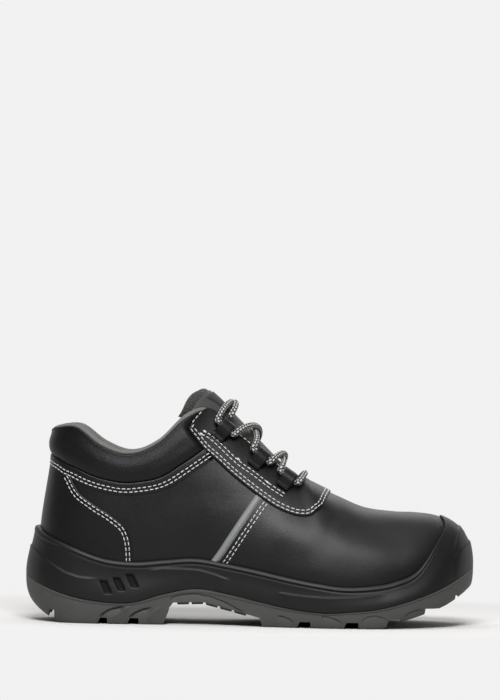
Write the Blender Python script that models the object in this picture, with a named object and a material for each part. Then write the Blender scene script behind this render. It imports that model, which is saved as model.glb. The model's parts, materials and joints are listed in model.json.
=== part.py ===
"""Low-cut safety shoe for the right foot: cup sole, hollow upper, tongue, overlays and lace.

The toe points along +X, the outer side of the foot is at -Y and the floor is z = 0.
Sizes are in millimetres, and MM brings them to metres when a mesh is made.
"""
import math
from collections import namedtuple

import bmesh
import bpy
import numpy as np
from mathutils import Vector

MM = 0.001

# Driving sizes
GAP = 0.4              # clearance between two pieces that touch
WALL = 2.2             # leather of the upper with its lining
LIP = 3.0              # moulded midsole at its upper edge
HEEL_LIP = 4.6         # the same at the back of the heel
CAP_LIP = 1.4          # and over the toe
INSOLE = 4.0           # footbed
RIB = 0.8              # ledge along the side of the midsole
RIB_FROM = 0.2         # the ledge's lower and upper end, as shares of the side's height
RIB_TO = 0.46
BEAD = 0.6             # raised edge of the midsole
BEAD_FROM = 0.92       # where that edge begins, as a share of the side's height
SIDE_FULLNESS = 0.4    # how full the midsole's side is, 0 for a flat one
LUG_DEPTH = 4.2        # grooves of the tread
LUG_SLOPE = 2.0        # how far a groove narrows on each side
SHOULDER_DROP = 0.36   # where the outsole's side turns in, as a share of its height
SHOULDER_INSET = 0.08  # and how far it has come in there, as a share of the tread's inset
OVERLAY = 1.2          # leather of counter and eyestay
OVERLAY_GAP = 0.6      # overlays off the upper
COLLAR_EDGE = 0.8      # padded collar at its seams
COLLAR_SWELL = 2.8     # and how much more in the middle
COLLAR_FULLNESS = 0.8  # below 1 the collar's roll is fuller than a sine
OVER_CUP = 0.012       # start of the counter over the midsole's edge, as a share of the wall
PIPING_WIDTH = 5.0
PIPING_EDGE = 0.3
PIPING_HEIGHT = 1.6    # and how much more in the middle
LACE = 3.9             # diameter of the round lace
LACE_LEAD = 2.3        # straight stretch of lace in front of a loop
LOOP_LENGTH = 9.5      # lace loops along the throat
LOOP_HALF = 5.4        # half their width
LOOP_HEIGHT = 6.8
LOOP_SQUARENESS = 0.7  # below 1 a loop's section is squarer than an oval
LOOP_BORE = 5.2        # tunnel for the lace
LOOP_AXIS = 3.6        # height of the tunnel's middle
WELD = 0.001           # points closer than this are one point
SHARP = 35             # degrees between two faces with a hard edge
CUT_REACH = 70.0       # how far a cutter runs out past the side of the shoe
CUT_BELOW = -2.0       # and under the floor

# Stations: the throat begins at the top of the instep, its front end runs round an arc, and then
# the halves of the upper meet; the midsole's edge is thick round the heel and thins into the toe cap
HEEL_END = 2
THROAT_TOP = 7
THROAT_ARC = 10
THROAT_END = 11
THROAT_BEND = 8        # the higher, the nearer to its top the arc shapes the wall
CAP_START = 13
CAP_FULL = 16
TOE_TIP = 17

# The last, a row for each station from the heel back to the toe tip.
# foot: lower edge of the upper; top: collar, throat edge, then ridge of the vamp.
# lat and med are half widths, belly and rise the swell over the foot point,
# crown and drop the swell under the top point, turn the heading of the wall (0 is straight sideways).
# top_gap is half the opening at the top; at the front end of the throat an arc closes it,
# which shapes the wall only near its top.
Last = namedtuple("Last", "foot_x foot_lat foot_med foot_z belly rise "
                          "top_x top_mid top_gap top_z crown drop turn")
LAST = [
    Last(-140.0, 0.0, 0.0, 30.0, 8, 30, -134.0, 0.0, 0.0, 131.0, 1.5, 38, -90),
    Last(-133.5, 17.5, 17.0, 30.0, 7, 28, -130.5, 0.0, 13.0, 133.0, 1.5, 38, -58),
    Last(-119.0, 28.0, 27.0, 29.5, 6, 26, -117.0, 0.0, 23.5, 133.8, 1.5, 38, -24),
    Last(-98.0, 31.5, 30.0, 29.0, 6, 25, -100.0, 0.0, 30.0, 122.3, 2, 34, -5),
    Last(-77.0, 31.5, 28.5, 28.5, 6, 25, -82.0, 0.0, 32.0, 116.6, 2, 32, 0),
    Last(-57.0, 31.0, 26.5, 28.5, 6, 25, -63.0, 0.0, 31.0, 124.2, 3, 35, 0),
    Last(-36.0, 32.0, 25.5, 28.5, 7, 25, -45.0, 0.5, 27.0, 141.4, 6, 40, 0),
    Last(-15.0, 35.0, 27.0, 27.5, 8, 25, -29.0, 1.0, 19.5, 145.8, 12, 36, 0),
    Last(6.0, 39.0, 31.0, 25.0, 9, 24, -8.0, 1.5, 17.5, 128.4, 14, 26, 0),
    Last(27.0, 43.0, 37.0, 21.5, 10, 23, 12.0, 2.0, 15.5, 111.9, 16, 16, 0),
    Last(46.0, 45.5, 42.5, 19.0, 10, 22, 30.0, 2.5, 13.5, 98.8, 19, 7, 0),
    Last(63.0, 46.0, 45.0, 18.5, 10, 21, 38.5, 3.0, 12.0, 96.3, 18, 0, 0),
    Last(80.0, 44.5, 46.0, 19.8, 10, 21, 57.0, 3.5, 0.0, 87.7, 30, 0, 5),
    Last(96.0, 41.0, 44.0, 23.0, 9, 20, 76.0, 4.0, 0.0, 79.9, 30, 0.5, 12),
    Last(110.5, 35.0, 40.0, 27.0, 9, 19, 97.0, 4.5, 0.0, 77.0, 29, 0.8, 25),
    Last(124.0, 26.5, 33.5, 31.5, 8, 19, 110.0, 5.0, 0.0, 76.6, 28, 1.5, 44),
    Last(136.0, 12.5, 21.5, 36.0, 8, 19, 117.5, 5.0, 0.0, 76.1, 26, 2.5, 66),
    Last(143.5, -5.0, 5.0, 38.5, 8.5, 18, 120.0, 5.0, 0.0, 75.8, 25, 3, 90),
]

# The sole at the same stations: its outline where midsole and outsole meet, the height of that
# border, the height of the midsole's edge on the upper, and the tread's inset and height.
Sole = namedtuple("Sole", "x lat med border_z edge_z tread_in tread_z")
SOLE = [
    Sole(-152.5, 0.0, 0.0, 31.8, 64.5, 17.0, 6.0),
    Sole(-144.0, 21.5, 21.0, 26.7, 58.0, 13.0, 3.0),
    Sole(-127.0, 34.0, 33.5, 20.0, 50.5, 4.0, 0.0),
    Sole(-104.0, 39.0, 38.0, 15.2, 43.0, 2.5, 0.0),
    Sole(-80.0, 39.5, 36.5, 14.4, 41.0, 2.5, 0.0),
    Sole(-58.0, 38.5, 34.0, 20.5, 42.6, 2.5, 0.0),
    Sole(-36.0, 39.0, 32.5, 24.4, 44.0, 2.5, 0.0),
    Sole(-14.0, 42.0, 33.5, 21.3, 41.0, 2.5, 0.0),
    Sole(8.0, 46.5, 37.5, 16.4, 37.0, 2.5, 0.0),
    Sole(30.0, 50.5, 44.0, 12.1, 32.5, 2.5, 0.0),
    Sole(50.0, 53.0, 49.5, 10.2, 29.0, 2.5, 0.0),
    Sole(68.0, 53.5, 52.5, 11.2, 26.8, 2.5, 0.0),
    Sole(86.0, 52.0, 53.5, 13.2, 27.5, 2.5, 0.0),
    Sole(103.0, 48.0, 51.5, 17.4, 30.5, 3.0, 5.0),
    Sole(119.0, 41.0, 47.0, 22.8, 38.0, 3.0, 10.0),
    Sole(134.0, 30.5, 39.0, 29.4, 58.5, 3.0, 15.4),
    Sole(146.5, 14.5, 24.5, 37.0, 72.0, 3.2, 22.4),
    Sole(152.5, -5.0, 5.0, 41.0, 73.5, 2.0, 27.4),
]

# Grooves across the tread, and the arch between heel and forefoot
Groove = namedtuple("Groove", "back front top_z")
GROOVES = [
    Groove(-136.5, -131.0, 8.5),
    Groove(-102.0, -95.0, LUG_DEPTH),
    Groove(-82.0, -74.0, LUG_DEPTH),
    Groove(31.7, 41.0, LUG_DEPTH),
    Groove(62.8, 73.0, LUG_DEPTH),
    Groove(91.0, 102.0, 6.4),
    Groove(116.0, 128.0, 13.6),
    Groove(137.0, 141.5, 22.0),
]
Profile = namedtuple("Profile", "x z")
ARCH = [
    Profile(-58.0, 0.0),
    Profile(-56.0, 4.5),
    Profile(-54.5, 10.8),
    Profile(-51.0, 15.0),
    Profile(-31.0, 15.7),
    Profile(-9.0, 10.3),
    Profile(7.0, 6.0),
    Profile(8.8, 0.0),
]
CENTRE_GROOVES = [Groove(-124.0, -58.0, LUG_DEPTH), Groove(8.8, 128.0, LUG_DEPTH)]
CENTRE_WIDTH = 7.0

# Slanted slots in the midsole's side, near the heel: the middle of each
SLOTS = [Profile(-97.0, 24.6), Profile(-88.6, 26.4), Profile(-80.6, 28.8)]
SLOT_HALF = 3.0        # half the slot's width
SLOT_RISE = 4.6        # half its height
SLOT_LEAN = 1.8        # how far its upper half leans towards the heel
SLOT_DEPTH = 3.2       # from the outline of the sole

# The tongue, a row for each section from under the vamp to its padded top:
# the middle of its front face, the radius and half angle of its arch, and its thickness
Tongue = namedtuple("Tongue", "x z radius half_angle thick")
TONGUE = [
    Tongue(52.0, 85.0, 17.0, 50, 2.4),
    Tongue(40.0, 90.2, 17.0, 55, 2.6),
    Tongue(30.0, 96.6, 17.0, 62, 3.0),
    Tongue(20.0, 106.8, 17.5, 68, 3.4),
    Tongue(8.0, 119.6, 18.0, 72, 4.0),
    Tongue(-6.2, 135.0, 18.5, 74, 5.0),
    Tongue(-21.2, 150.0, 19.0, 82, 7.0),
    Tongue(-28.0, 156.0, 20.5, 93, 8.6),
    Tongue(-32.6, 159.6, 21.0, 98, 7.0),
]

# Overlays, drawn on the shoe as seen from the side; both sides of the shoe have the same pattern.
# The collar from heel to eyestay: its lower seam, and the point of the topline over it
Collar = namedtuple("Collar", "seam_x seam_z rim_x")
COLLAR = [
    Collar(-136.2, 113.5, -134.0),
    Collar(-131.0, 110.3, -130.0),
    Collar(-123.0, 105.8, -122.5),
    Collar(-113.0, 101.6, -112.0),
    Collar(-101.5, 97.3, -100.5),
    Collar(-90.0, 95.0, -89.5),
    Collar(-77.0, 95.2, -77.0),
    Collar(-63.0, 98.0, -62.0),
    Collar(-53.0, 103.5, -51.0),
    Collar(-47.0, 108.8, -44.0),
]

# The counter from its front edge to the heel back: a line up the wall from the midsole's edge
Counter = namedtuple("Counter", "low_x high_x high_z")
COUNTER = [
    Counter(-80.0, -79.6, 50.0),
    Counter(-81.8, -81.2, 58.5),
    Counter(-86.0, -85.2, 66.0),
    Counter(-95.4, -94.4, 73.2),
    Counter(-106.6, -106.0, 80.4),
    Counter(-116.0, -116.0, 88.0),
    Counter(-123.0, -122.2, 98.5),
    Counter(-130.5, -128.0, 106.3),
    Counter(-137.0, -133.0, 109.6),
    Counter(-143.0, -136.8, 111.6),
]

# The eyestay from its top corner to the ridge in front of the throat: outer edge, then throat edge
Eyestay = namedtuple("Eyestay", "out_x out_z in_x in_z")
EYESTAY = [
    Eyestay(-41.6, 133.8, -34.0, 142.6),
    Eyestay(-43.0, 130.8, -30.4, 148.0),
    Eyestay(-39.6, 126.0, -25.0, 148.0),
    Eyestay(-31.6, 116.8, -16.0, 138.0),
    Eyestay(-18.7, 105.6, -3.0, 127.5),
    Eyestay(-6.0, 95.0, 7.0, 119.5),
    Eyestay(5.0, 86.8, 16.0, 112.0),
    Eyestay(17.0, 79.0, 24.5, 106.5),
    Eyestay(28.0, 74.6, 31.0, 102.5),
    Eyestay(36.0, 73.6, 34.0, 101.5),
    Eyestay(43.6, 76.6, 36.4, 101.0),
    Eyestay(49.6, 82.6, 38.0, 100.0),
]
EYESTAY_RIDGE = 53.8   # where the eyestay's front edge crosses the ridge

# Piping between quarter and vamp: middle of the strip from eyestay to midsole
PIPING = [Profile(3.4, 83.6), Profile(-10.5, 63.4), Profile(-22.6, 45.8)]

# Lace loops from the top of the throat down: the middle of each on the eyestay
LOOPS = [Profile(-19.7, 130.9), Profile(4.1, 111.4), Profile(23.1, 96.6)]

# Strands of the lace, each from one loop's end over the tongue to another on the other side:
# loop numbers, which end (1 towards the toe, -1 towards the collar), how high the strand rises off
# the line between its ends, and how far its crest lies from the middle towards the collar
Strand = namedtuple("Strand", "node outer outer_end inner inner_end rise slide")
STRANDS = [
    Strand("lace_bar", 2, 1, 2, 1, 8.4, 0.0),
    Strand("lace_cross_low", 2, -1, 1, 1, 8.2, 0.0),
    Strand("lace_cross_low", 1, 1, 2, -1, 11.0, 0.0),
    Strand("lace_cross_high", 1, -1, 0, 1, 10.4, 0.0),
    Strand("lace_cross_high", 0, 1, 1, -1, 14.0, -1.0),
    Strand("lace_top_back", 0, -1, 0, -1, 14.6, 4.0),
    Strand("lace_top_front", 0, -1, 0, -1, 13.6, 1.4),
]

# Ends of the lace, each stopping by a top loop instead of entering it: the side, how far towards the
# throat from the tunnel, how far past the loop's end, and how far below the tunnel
Hidden = namedtuple("Hidden", "node side beside beyond below")
HIDDEN_ENDS = [
    Hidden("lace_top_front", -1, 7.9, -2.0, 0.0),
    Hidden("lace_top_back", 1, 0.0, 7.0, 1.2),
]

# Finish of each material: linear colour, roughness, metallic
Finish = namedtuple("Finish", "colour roughness metallic")
FINISHES = {
    "black_leather": Finish((0.012, 0.012, 0.012), 0.55, 0.0),
    "black_foam": Finish((0.022, 0.021, 0.021), 0.7, 0.0),
    "grey_rubber": Finish((0.07, 0.07, 0.066), 0.75, 0.0),
    "grey_textile": Finish((0.16, 0.165, 0.15), 0.9, 0.0),
    "dark_mesh": Finish((0.02, 0.02, 0.02), 0.85, 0.0),
    "reflective_grey": Finish((0.22, 0.22, 0.22), 0.45, 0.0),
    "black_cord": Finish((0.018, 0.018, 0.018), 0.8, 0.0),
}

STATIONS = len(LAST)
LOOP = 2 * (STATIONS - 1)
FINE_STEPS = 4         # columns between stations round heel and toe
PLAIN_STEPS = 2        # columns between stations along the sides
FINE_HEEL = 3
FINE_TOE = 12
UPPER_ROWS = 7
SIDE_ROWS = (0.0, 0.22, 0.44, 0.48, 0.72, 0.9, 0.94, 1.0)
OVERLAY_STEPS = 2      # rows between two rows of an overlay's table
COLLAR_ACROSS = 5      # faces across each overlay
COUNTER_ACROSS = 4
EYESTAY_ACROSS = 4
PIPING_ACROSS = 4
TONGUE_ACROSS = 10
LACE_SIDES = 6
LACE_STEPS = 9
LOOP_SIDES = 10
NUDGE = 0.01           # step of u and v for a slope
GRID_ALONG = 69        # points of the side from which a place is looked for
GRID_UP = 21


WallRow = namedtuple("WallRow", "foot_x foot_y foot_z belly rise top_x top_y top_z "
                                "crown drop head_x head_y middle")
EdgeRow = namedtuple("EdgeRow", "x y border_z edge_z tread_in tread_z")


def loop_table(row_values):
    """Rows of one closed loop: outer side heel to toe, then inner side toe to heel."""
    outer = [row_values(k, -1) for k in range(STATIONS)]
    inner = [row_values(k, 1) for k in range(STATIONS - 2, 0, -1)]
    return np.array(outer + inner, dtype=float)


def wall_row(k, side):
    row = LAST[k]
    half = row.foot_lat if side < 0 else row.foot_med
    turn = math.radians(row.turn)
    return WallRow(row.foot_x, side * half, row.foot_z, row.belly, row.rise,
                   row.top_x, row.top_mid + side * row.top_gap, row.top_z, row.crown, row.drop,
                   math.sin(turn), side * math.cos(turn), row.top_mid)


def edge_row(k, side):
    row = SOLE[k]
    half = row.lat if side < 0 else row.med
    return EdgeRow(row.x, side * half, row.border_z, row.edge_z, row.tread_in, row.tread_z)


WALL_LOOP = loop_table(wall_row)
EDGE_LOOP = loop_table(edge_row)


def smooth_row(table, u):
    """Catmull-Rom value of a closed table at u."""
    base = math.floor(u)
    f = u - base
    a, b, c, d = (table[(base + k) % len(table)] for k in (-1, 0, 1, 2))
    return 0.5 * (2 * b + (c - a) * f + (2 * a - 5 * b + 4 * c - d) * f ** 2
                  + (3 * b - a - 3 * c + d) * f ** 3)


def wall_at(u):
    return WallRow(*smooth_row(WALL_LOOP, u))


def edge_at(u):
    return EdgeRow(*smooth_row(EDGE_LOOP, u))


def station_of(u):
    u = u % LOOP
    return min(u, LOOP - u)


def heading_at(u):
    row = wall_at(u)
    return np.array((row.head_x, row.head_y, 0.0)) / math.hypot(row.head_x, row.head_y)


def bezier(a, b, c, d, t):
    return (1 - t) ** 3 * a + 3 * (1 - t) ** 2 * t * b + 3 * (1 - t) * t ** 2 * c + t ** 3 * d


def surface(u, v):
    """Outer face of the upper: u runs round the shoe, v from the sole (0) to collar or ridge (1)."""
    row = wall_at(u)
    out = heading_at(u)
    foot = np.array((row.foot_x, row.foot_y, row.foot_z))
    rim = np.array((row.top_x, row.top_y, row.top_z))
    top = rim.copy()
    station = station_of(u)
    if THROAT_ARC < station < THROAT_END:
        start, end = LAST[THROAT_ARC], LAST[THROAT_END]
        angle = (station - THROAT_ARC) * math.pi / 2
        top[0] = start.top_x + (end.top_x - start.top_x) * math.sin(angle)
        top[1] = row.middle + math.copysign(start.top_gap, row.foot_y) * math.cos(angle)
    if station >= THROAT_END:
        top[1] = row.middle
    low = foot + out * row.belly + np.array((0, 0, row.rise))
    high = rim + out * row.crown - np.array((0, 0, row.drop))
    return bezier(foot, low, high, rim, v) + (top - rim) * v ** THROAT_BEND


def raw_normal(u, v):
    along = surface(u + NUDGE, v) - surface(u - NUDGE, v)
    if np.linalg.norm(along) < WELD:
        along = np.cross((0.0, 0.0, 1.0), heading_at(u))
    v0, v1 = max(v - NUDGE, 0.0), min(v + NUDGE, 1.0)
    across = surface(u, v1) - surface(u, v0)
    normal = np.cross(along, across)
    return normal / np.linalg.norm(normal)


def normal_at(u, v):
    normal = raw_normal(u, v)
    if v > 1 - WELD and station_of(u) >= THROAT_END:
        normal = normal + raw_normal(LOOP - u, v)
        normal[1] = 0.0
        normal = normal / np.linalg.norm(normal)
    return normal


def skin(u, v, offset):
    """A point held off the outer face of the upper."""
    return surface(u, v) + normal_at(u, v) * offset


def height_to_v(u, z):
    """Where the wall at u reaches height z."""
    low, high = 0.0, 1.0
    if surface(u, 1.0)[2] <= z:
        return 1.0
    for _ in range(40):
        mid = (low + high) / 2
        if surface(u, mid)[2] < z:
            low = mid
        else:
            high = mid
    return (low + high) / 2


def loop_columns():
    """Values of u for the columns of upper and sole, closer round heel and toe."""
    outer = []
    for k in range(STATIONS - 1):
        steps = FINE_STEPS if k < FINE_HEEL or k >= FINE_TOE else PLAIN_STEPS
        outer += [k + j / steps for j in range(steps)]
    inner = [LOOP - u for u in outer[:0:-1]]
    return outer + [float(TOE_TIP)] + inner


COLUMNS = loop_columns()


def finish(name):
    material = bpy.data.materials.get(name)
    if material is None:
        look = FINISHES[name]
        material = bpy.data.materials.new(name)
        material.use_nodes = True
        shader = material.node_tree.nodes["Principled BSDF"]
        shader.inputs["Base Color"].default_value = (*look.colour, 1.0)
        shader.inputs["Roughness"].default_value = look.roughness
        shader.inputs["Metallic"].default_value = look.metallic
    return material


def solid(name, points, faces, material):
    """One closed mesh object, welded, with its faces pointing out."""
    mesh = bpy.data.meshes.new(name)
    mesh.from_pydata([Vector(p) * MM for p in points], [], faces)
    work = bmesh.new()
    work.from_mesh(mesh)
    bmesh.ops.remove_doubles(work, verts=work.verts, dist=WELD * MM)
    bmesh.ops.dissolve_degenerate(work, edges=work.edges, dist=WELD * MM)
    bmesh.ops.recalc_face_normals(work, faces=work.faces)
    work.to_mesh(mesh)
    work.free()
    mesh.shade_smooth()
    mesh.set_sharp_from_angle(angle=math.radians(SHARP))
    shoe_part = bpy.data.objects.new(name, mesh)
    bpy.context.collection.objects.link(shoe_part)
    shoe_part.data.materials.append(finish(material))
    return shoe_part


def cut(target, cutter):
    """Take the cutter's shape away from the target; the cutter itself isn't part of the shoe."""
    cutter.hide_render = True
    cutter.display_type = "WIRE"
    boolean = target.modifiers.new(cutter.name, "BOOLEAN")
    boolean.operation = "DIFFERENCE"
    boolean.solver = "EXACT"
    boolean.object = cutter


def strip_faces(first, second, close):
    """Pairs of triangles between two rows of point numbers, every diagonal leaning the same way."""
    count = len(first)
    pairs = [(k, (k + 1) % count) for k in range(count if close else count - 1)]
    return [((first[j], first[k], second[k]), (first[j], second[k], second[j])) for j, k in pairs]


def flat(pairs):
    return [face for pair in pairs for face in pair]


def mirror_column(k):
    """Number of the column across the shoe from column k."""
    return (len(COLUMNS) - k) % len(COLUMNS)


def bridge_across(ring):
    """Faces from side to side inside one ring of point numbers."""
    half = len(ring) // 2
    faces = []
    for k in range(half):
        corners = (ring[k], ring[k + 1], ring[mirror_column(k + 1)], ring[mirror_column(k)])
        faces.append(tuple(dict.fromkeys(corners)))
    return faces


def ring_solid(name, rows, material):
    """Solid from rings of points, one ring for each row, its ends bridged from side to side."""
    count = len(COLUMNS)
    points = [p for row in rows for p in row]
    rings = [[k * count + j for j in range(count)] for k in range(len(rows))]
    faces = bridge_across(rings[0]) + bridge_across(rings[-1])
    for k in range(len(rows) - 1):
        faces += flat(strip_faces(rings[k], rings[k + 1], True))
    return solid(name, points, faces, material)


def outline_point(u, inset, z):
    """Point on the sole's outline at u, moved in by inset and set at height z."""
    row = edge_at(u)
    point = np.array((row.x, row.y, 0.0)) - heading_at(u) * inset
    point[2] = z
    return point


def build_upper():
    levels = [k / UPPER_ROWS for k in range(UPPER_ROWS + 1)]
    outer = [[skin(u, v, 0.0) for u in COLUMNS] for v in levels]
    inner = [[skin(u, v, -WALL) for u in COLUMNS] for v in levels]
    rows = outer + inner[::-1]
    count = len(COLUMNS)
    points = [p for row in rows for p in row]
    rings = [[k * count + j for j in range(count)] for k in range(len(rows))]
    faces = []
    for k in range(len(rows)):
        quads = strip_faces(rings[k], rings[(k + 1) % len(rows)], True)
        if k == UPPER_ROWS:
            quads = [q for j, q in enumerate(quads)
                     if station_of(COLUMNS[j]) < THROAT_END
                     or station_of(COLUMNS[(j + 1) % count]) < THROAT_END]
        faces += flat(quads)
    return solid("upper", points, faces, "black_leather")


def cup_edge(u):
    """How far up the upper's wall the midsole reaches."""
    return height_to_v(u, edge_at(u).edge_z)


def soft_step(f):
    """0 below 0, 1 above 1, with a soft start and end between."""
    f = min(max(f, 0.0), 1.0)
    return f * f * (3 - 2 * f)


def cup_lip(u):
    """Thickness of the midsole's edge, from the heel to where it climbs into the toe cap."""
    station = station_of(u)
    heel = soft_step(1 - station / HEEL_END)
    cap = soft_step((station - CAP_START) / (CAP_FULL - CAP_START))
    return LIP + (HEEL_LIP - LIP) * heel + (CAP_LIP - LIP) * cap


def cup_side(u, f):
    """Outer wall of the midsole from the border (0) to its edge (1), with its ledge and bead."""
    border = outline_point(u, 0.0, edge_at(u).border_z + GAP / 2)
    v = cup_edge(u)
    edge = skin(u, v, GAP + cup_lip(u))
    down = surface(u, max(v - NUDGE, 0.0)) - surface(u, v)
    down = down / np.linalg.norm(down)
    reach = SIDE_FULLNESS * np.linalg.norm(edge - border)
    low = border + np.array((0, 0, reach))
    high = edge + down * reach
    point = bezier(border, low, high, edge, f)
    if RIB_FROM < f < RIB_TO:
        point = point + heading_at(u) * RIB
    if f > BEAD_FROM:
        point = point + heading_at(u) * BEAD
    return point


def side_width(side, x):
    """Half width of the sole at x."""
    xs = [row.x for row in SOLE]
    halves = [row.lat if side < 0 else row.med for row in SOLE]
    return float(np.interp(x, xs, halves))


def build_midsole():
    edges = {u: cup_edge(u) for u in COLUMNS}
    floor = []
    for u in COLUMNS:
        corner = skin(u, 0.0, GAP)
        corner[2] = wall_at(u).foot_z - GAP
        floor.append(corner)
    rows = [floor]
    for k in range(1, UPPER_ROWS + 1):
        rows.append([skin(u, min(edges[u], k / UPPER_ROWS), GAP) for u in COLUMNS])
    for f in SIDE_ROWS[::-1]:
        rows.append([cup_side(u, f) for u in COLUMNS])
    midsole = ring_solid("midsole", rows, "black_foam")
    for side, word in ((-1, "outer"), (1, "inner")):
        for k, slot in enumerate(SLOTS):
            outline = [(slot.x + SLOT_HALF * a - SLOT_LEAN * b, slot.z + SLOT_RISE * b)
                       for a, b in ((-1, -1), (1, -1), (1, 1), (-1, 1))]
            floor_y = side_width(side, slot.x) - SLOT_DEPTH
            cut(midsole, prism(f"cutter_slot_{word}_{k}", outline, "Y", side * floor_y, side * CUT_REACH))
    return midsole


def build_insole():
    inset = WALL + 2 * GAP
    rows = []
    for z in (0.0, INSOLE):
        ring = []
        for u in COLUMNS:
            point = surface(u, 0.0) - heading_at(u) * inset
            point[2] += z
            ring.append(point)
        rows.append(ring)
    return ring_solid("insole", rows, "grey_textile")


def prism(name, outline, axis, low, high):
    """Cutter: a closed outline in one plane, drawn along an axis from low to high."""
    points = []
    for end in (low, high):
        for a, b in outline:
            points.append((a, end, b) if axis == "Y" else (end, a, b))
    count = len(outline)
    faces = [tuple(range(count)), tuple(range(2 * count - 1, count - 1, -1))]
    faces += flat(strip_faces(list(range(count)), list(range(count, 2 * count)), True))
    return solid(name, points, faces, "grey_rubber")


def trapezoid(low, high, top):
    """Section of a groove, open under the floor."""
    return [(low, CUT_BELOW), (high, CUT_BELOW), (high, 0.0), (high - LUG_SLOPE, top),
            (low + LUG_SLOPE, top), (low, 0.0)]


def build_outsole():
    rows = [[], [], []]
    for u in COLUMNS:
        row = edge_at(u)
        border = row.border_z - GAP / 2
        tread = max(row.tread_z, 0.0)
        shoulder = border - SHOULDER_DROP * (border - tread)
        rows[0].append(outline_point(u, 0.0, border))
        rows[1].append(outline_point(u, SHOULDER_INSET * row.tread_in, shoulder))
        rows[2].append(outline_point(u, row.tread_in, tread))
    outsole = ring_solid("outsole", rows, "grey_rubber")
    for k, groove in enumerate(GROOVES):
        cut(outsole, prism(f"cutter_groove_{k}", trapezoid(*groove), "Y", -CUT_REACH, CUT_REACH))
    arch = [(ARCH[0].x, CUT_BELOW)] + [(p.x, p.z) for p in ARCH] + [(ARCH[-1].x, CUT_BELOW)]
    cut(outsole, prism("cutter_arch", arch, "Y", -CUT_REACH, CUT_REACH))
    for k, groove in enumerate(CENTRE_GROOVES):
        half = CENTRE_WIDTH / 2
        section = trapezoid(-half, half, groove.top_z)
        cut(outsole, prism(f"cutter_centre_{k}", section, "X", groove.back, groove.front))
    return outsole


def tongue_frame(k):
    """Forward normal of the tongue's front face at row k, in the X-Z plane."""
    a = TONGUE[max(k - 1, 0)]
    b = TONGUE[min(k + 1, len(TONGUE) - 1)]
    length = math.hypot(b.x - a.x, b.z - a.z)
    return np.array(((b.z - a.z) / length, 0.0, -(b.x - a.x) / length))


def ribbon(name, fronts, backs, material):
    """Solid between two sheets of points, given as rows across it."""
    width = len(fronts[0])
    rings = [list(front) + list(back)[::-1] for front, back in zip(fronts, backs)]
    count = 2 * width
    points = [p for ring in rings for p in ring]
    numbers = [[k * count + j for j in range(count)] for k in range(len(rings))]
    faces = []
    for first, second in zip(numbers, numbers[1:]):
        faces += flat(strip_faces(first, second, True))
    for ring in (numbers[0], numbers[-1]):
        faces += flat(strip_faces(ring[:width], ring[width:][::-1], False))
    return solid(name, points, faces, material)


def build_tongue():
    middles = [(row.top_x, row.top_mid) for row in LAST[THROAT_TOP:THROAT_END + 1]]
    fronts, backs = [], []
    for k, row in enumerate(TONGUE):
        normal = tongue_frame(k)
        middle = np.interp(row.x, *zip(*middles))
        centre = np.array((row.x, middle, row.z)) - normal * row.radius
        arc = []
        for j in range(TONGUE_ACROSS + 1):
            angle = math.radians(row.half_angle) * (2 * j / TONGUE_ACROSS - 1)
            arc.append(normal * math.cos(angle) + np.array((0.0, math.sin(angle), 0.0)))
        fronts.append([centre + row.radius * p for p in arc])
        backs.append([centre + (row.radius - row.thick) * p for p in arc])
    return ribbon("tongue", fronts, backs, "dark_mesh")


def side_grid():
    """Points of the outer side, to start looking for a place on the wall."""
    return [(s, v, surface(s, v)) for s in np.linspace(0, TOE_TIP, GRID_ALONG)
            for v in np.linspace(0, 1, GRID_UP)]


SIDE_GRID = side_grid()


def locate(side, x, z):
    """u and v of the wall's point at x and z, seen from the side; above the rim it is on the rim."""
    s, v, _ = min(SIDE_GRID, key=lambda node: math.hypot(node[2][0] - x, node[2][2] - z))
    step, longest = 0.002, np.array((0.4, 0.1))
    for _ in range(25):
        here = surface(-side * s, v)
        du = (surface(-side * (s + step), v) - here) / step
        dv = (here - surface(-side * s, v - step)) / step
        matrix = np.array(((du[0], dv[0]), (du[2], dv[2])))
        move = np.linalg.lstsq(matrix, np.array((x - here[0], z - here[2])), rcond=0.05)[0]
        s, v = np.clip((s, v) + np.clip(move, -longest, longest), 0.0, (TOE_TIP, 1.0))
    return np.array((-side * s, v))


def rim_place(side, x):
    """u and v of the topline, or the ridge, at x."""
    low, high = 0.0, float(TOE_TIP)
    for _ in range(40):
        mid = (low + high) / 2
        if surface(mid, 1.0)[0] < x:
            low = mid
        else:
            high = mid
    return np.array((-side * low, 1.0))


def smooth_places(places, steps, beyond=None):
    """More rows between rows of places, on a Catmull-Rom curve that heads for the place beyond them."""
    if beyond is None:
        beyond = 2 * places[-1] - places[-2]
    padded = [2 * places[0] - places[1]] + places + [beyond]
    smooth = []
    for k in range(len(places) - 1):
        four = np.array(padded[k:k + 4])
        smooth += [smooth_row(four, 1 + j / steps) for j in range(steps)]
    return smooth + [places[-1]]


def overlay(name, rows, across, swell, material):
    """Leather over the upper: rows of two places, low edge and high edge, and its thickness across."""
    fronts, backs = [], []
    for low, high in rows:
        front, back = [], []
        for j in range(across + 1):
            b = j / across
            u, v = low + (high - low) * b
            v = min(max(v, 0.0), 1.0)
            back.append(skin(u, v, OVERLAY_GAP))
            front.append(skin(u, v, OVERLAY_GAP + swell(b)))
        fronts.append(front)
        backs.append(back)
    return ribbon(name, fronts, backs, material)


def edge_rows(lows, highs):
    return list(zip(smooth_places(lows, OVERLAY_STEPS), smooth_places(highs, OVERLAY_STEPS)))


def round_heel(outer, inner):
    """Rows of one overlay from the outer front round the heel to the inner front."""
    heel = [(outer[0] + inner[0]) / 2]
    return outer[:0:-1] + heel + inner[1:]


def collar_thickness(b):
    return COLLAR_EDGE + COLLAR_SWELL * math.sin(math.pi * b) ** COLLAR_FULLNESS


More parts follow.
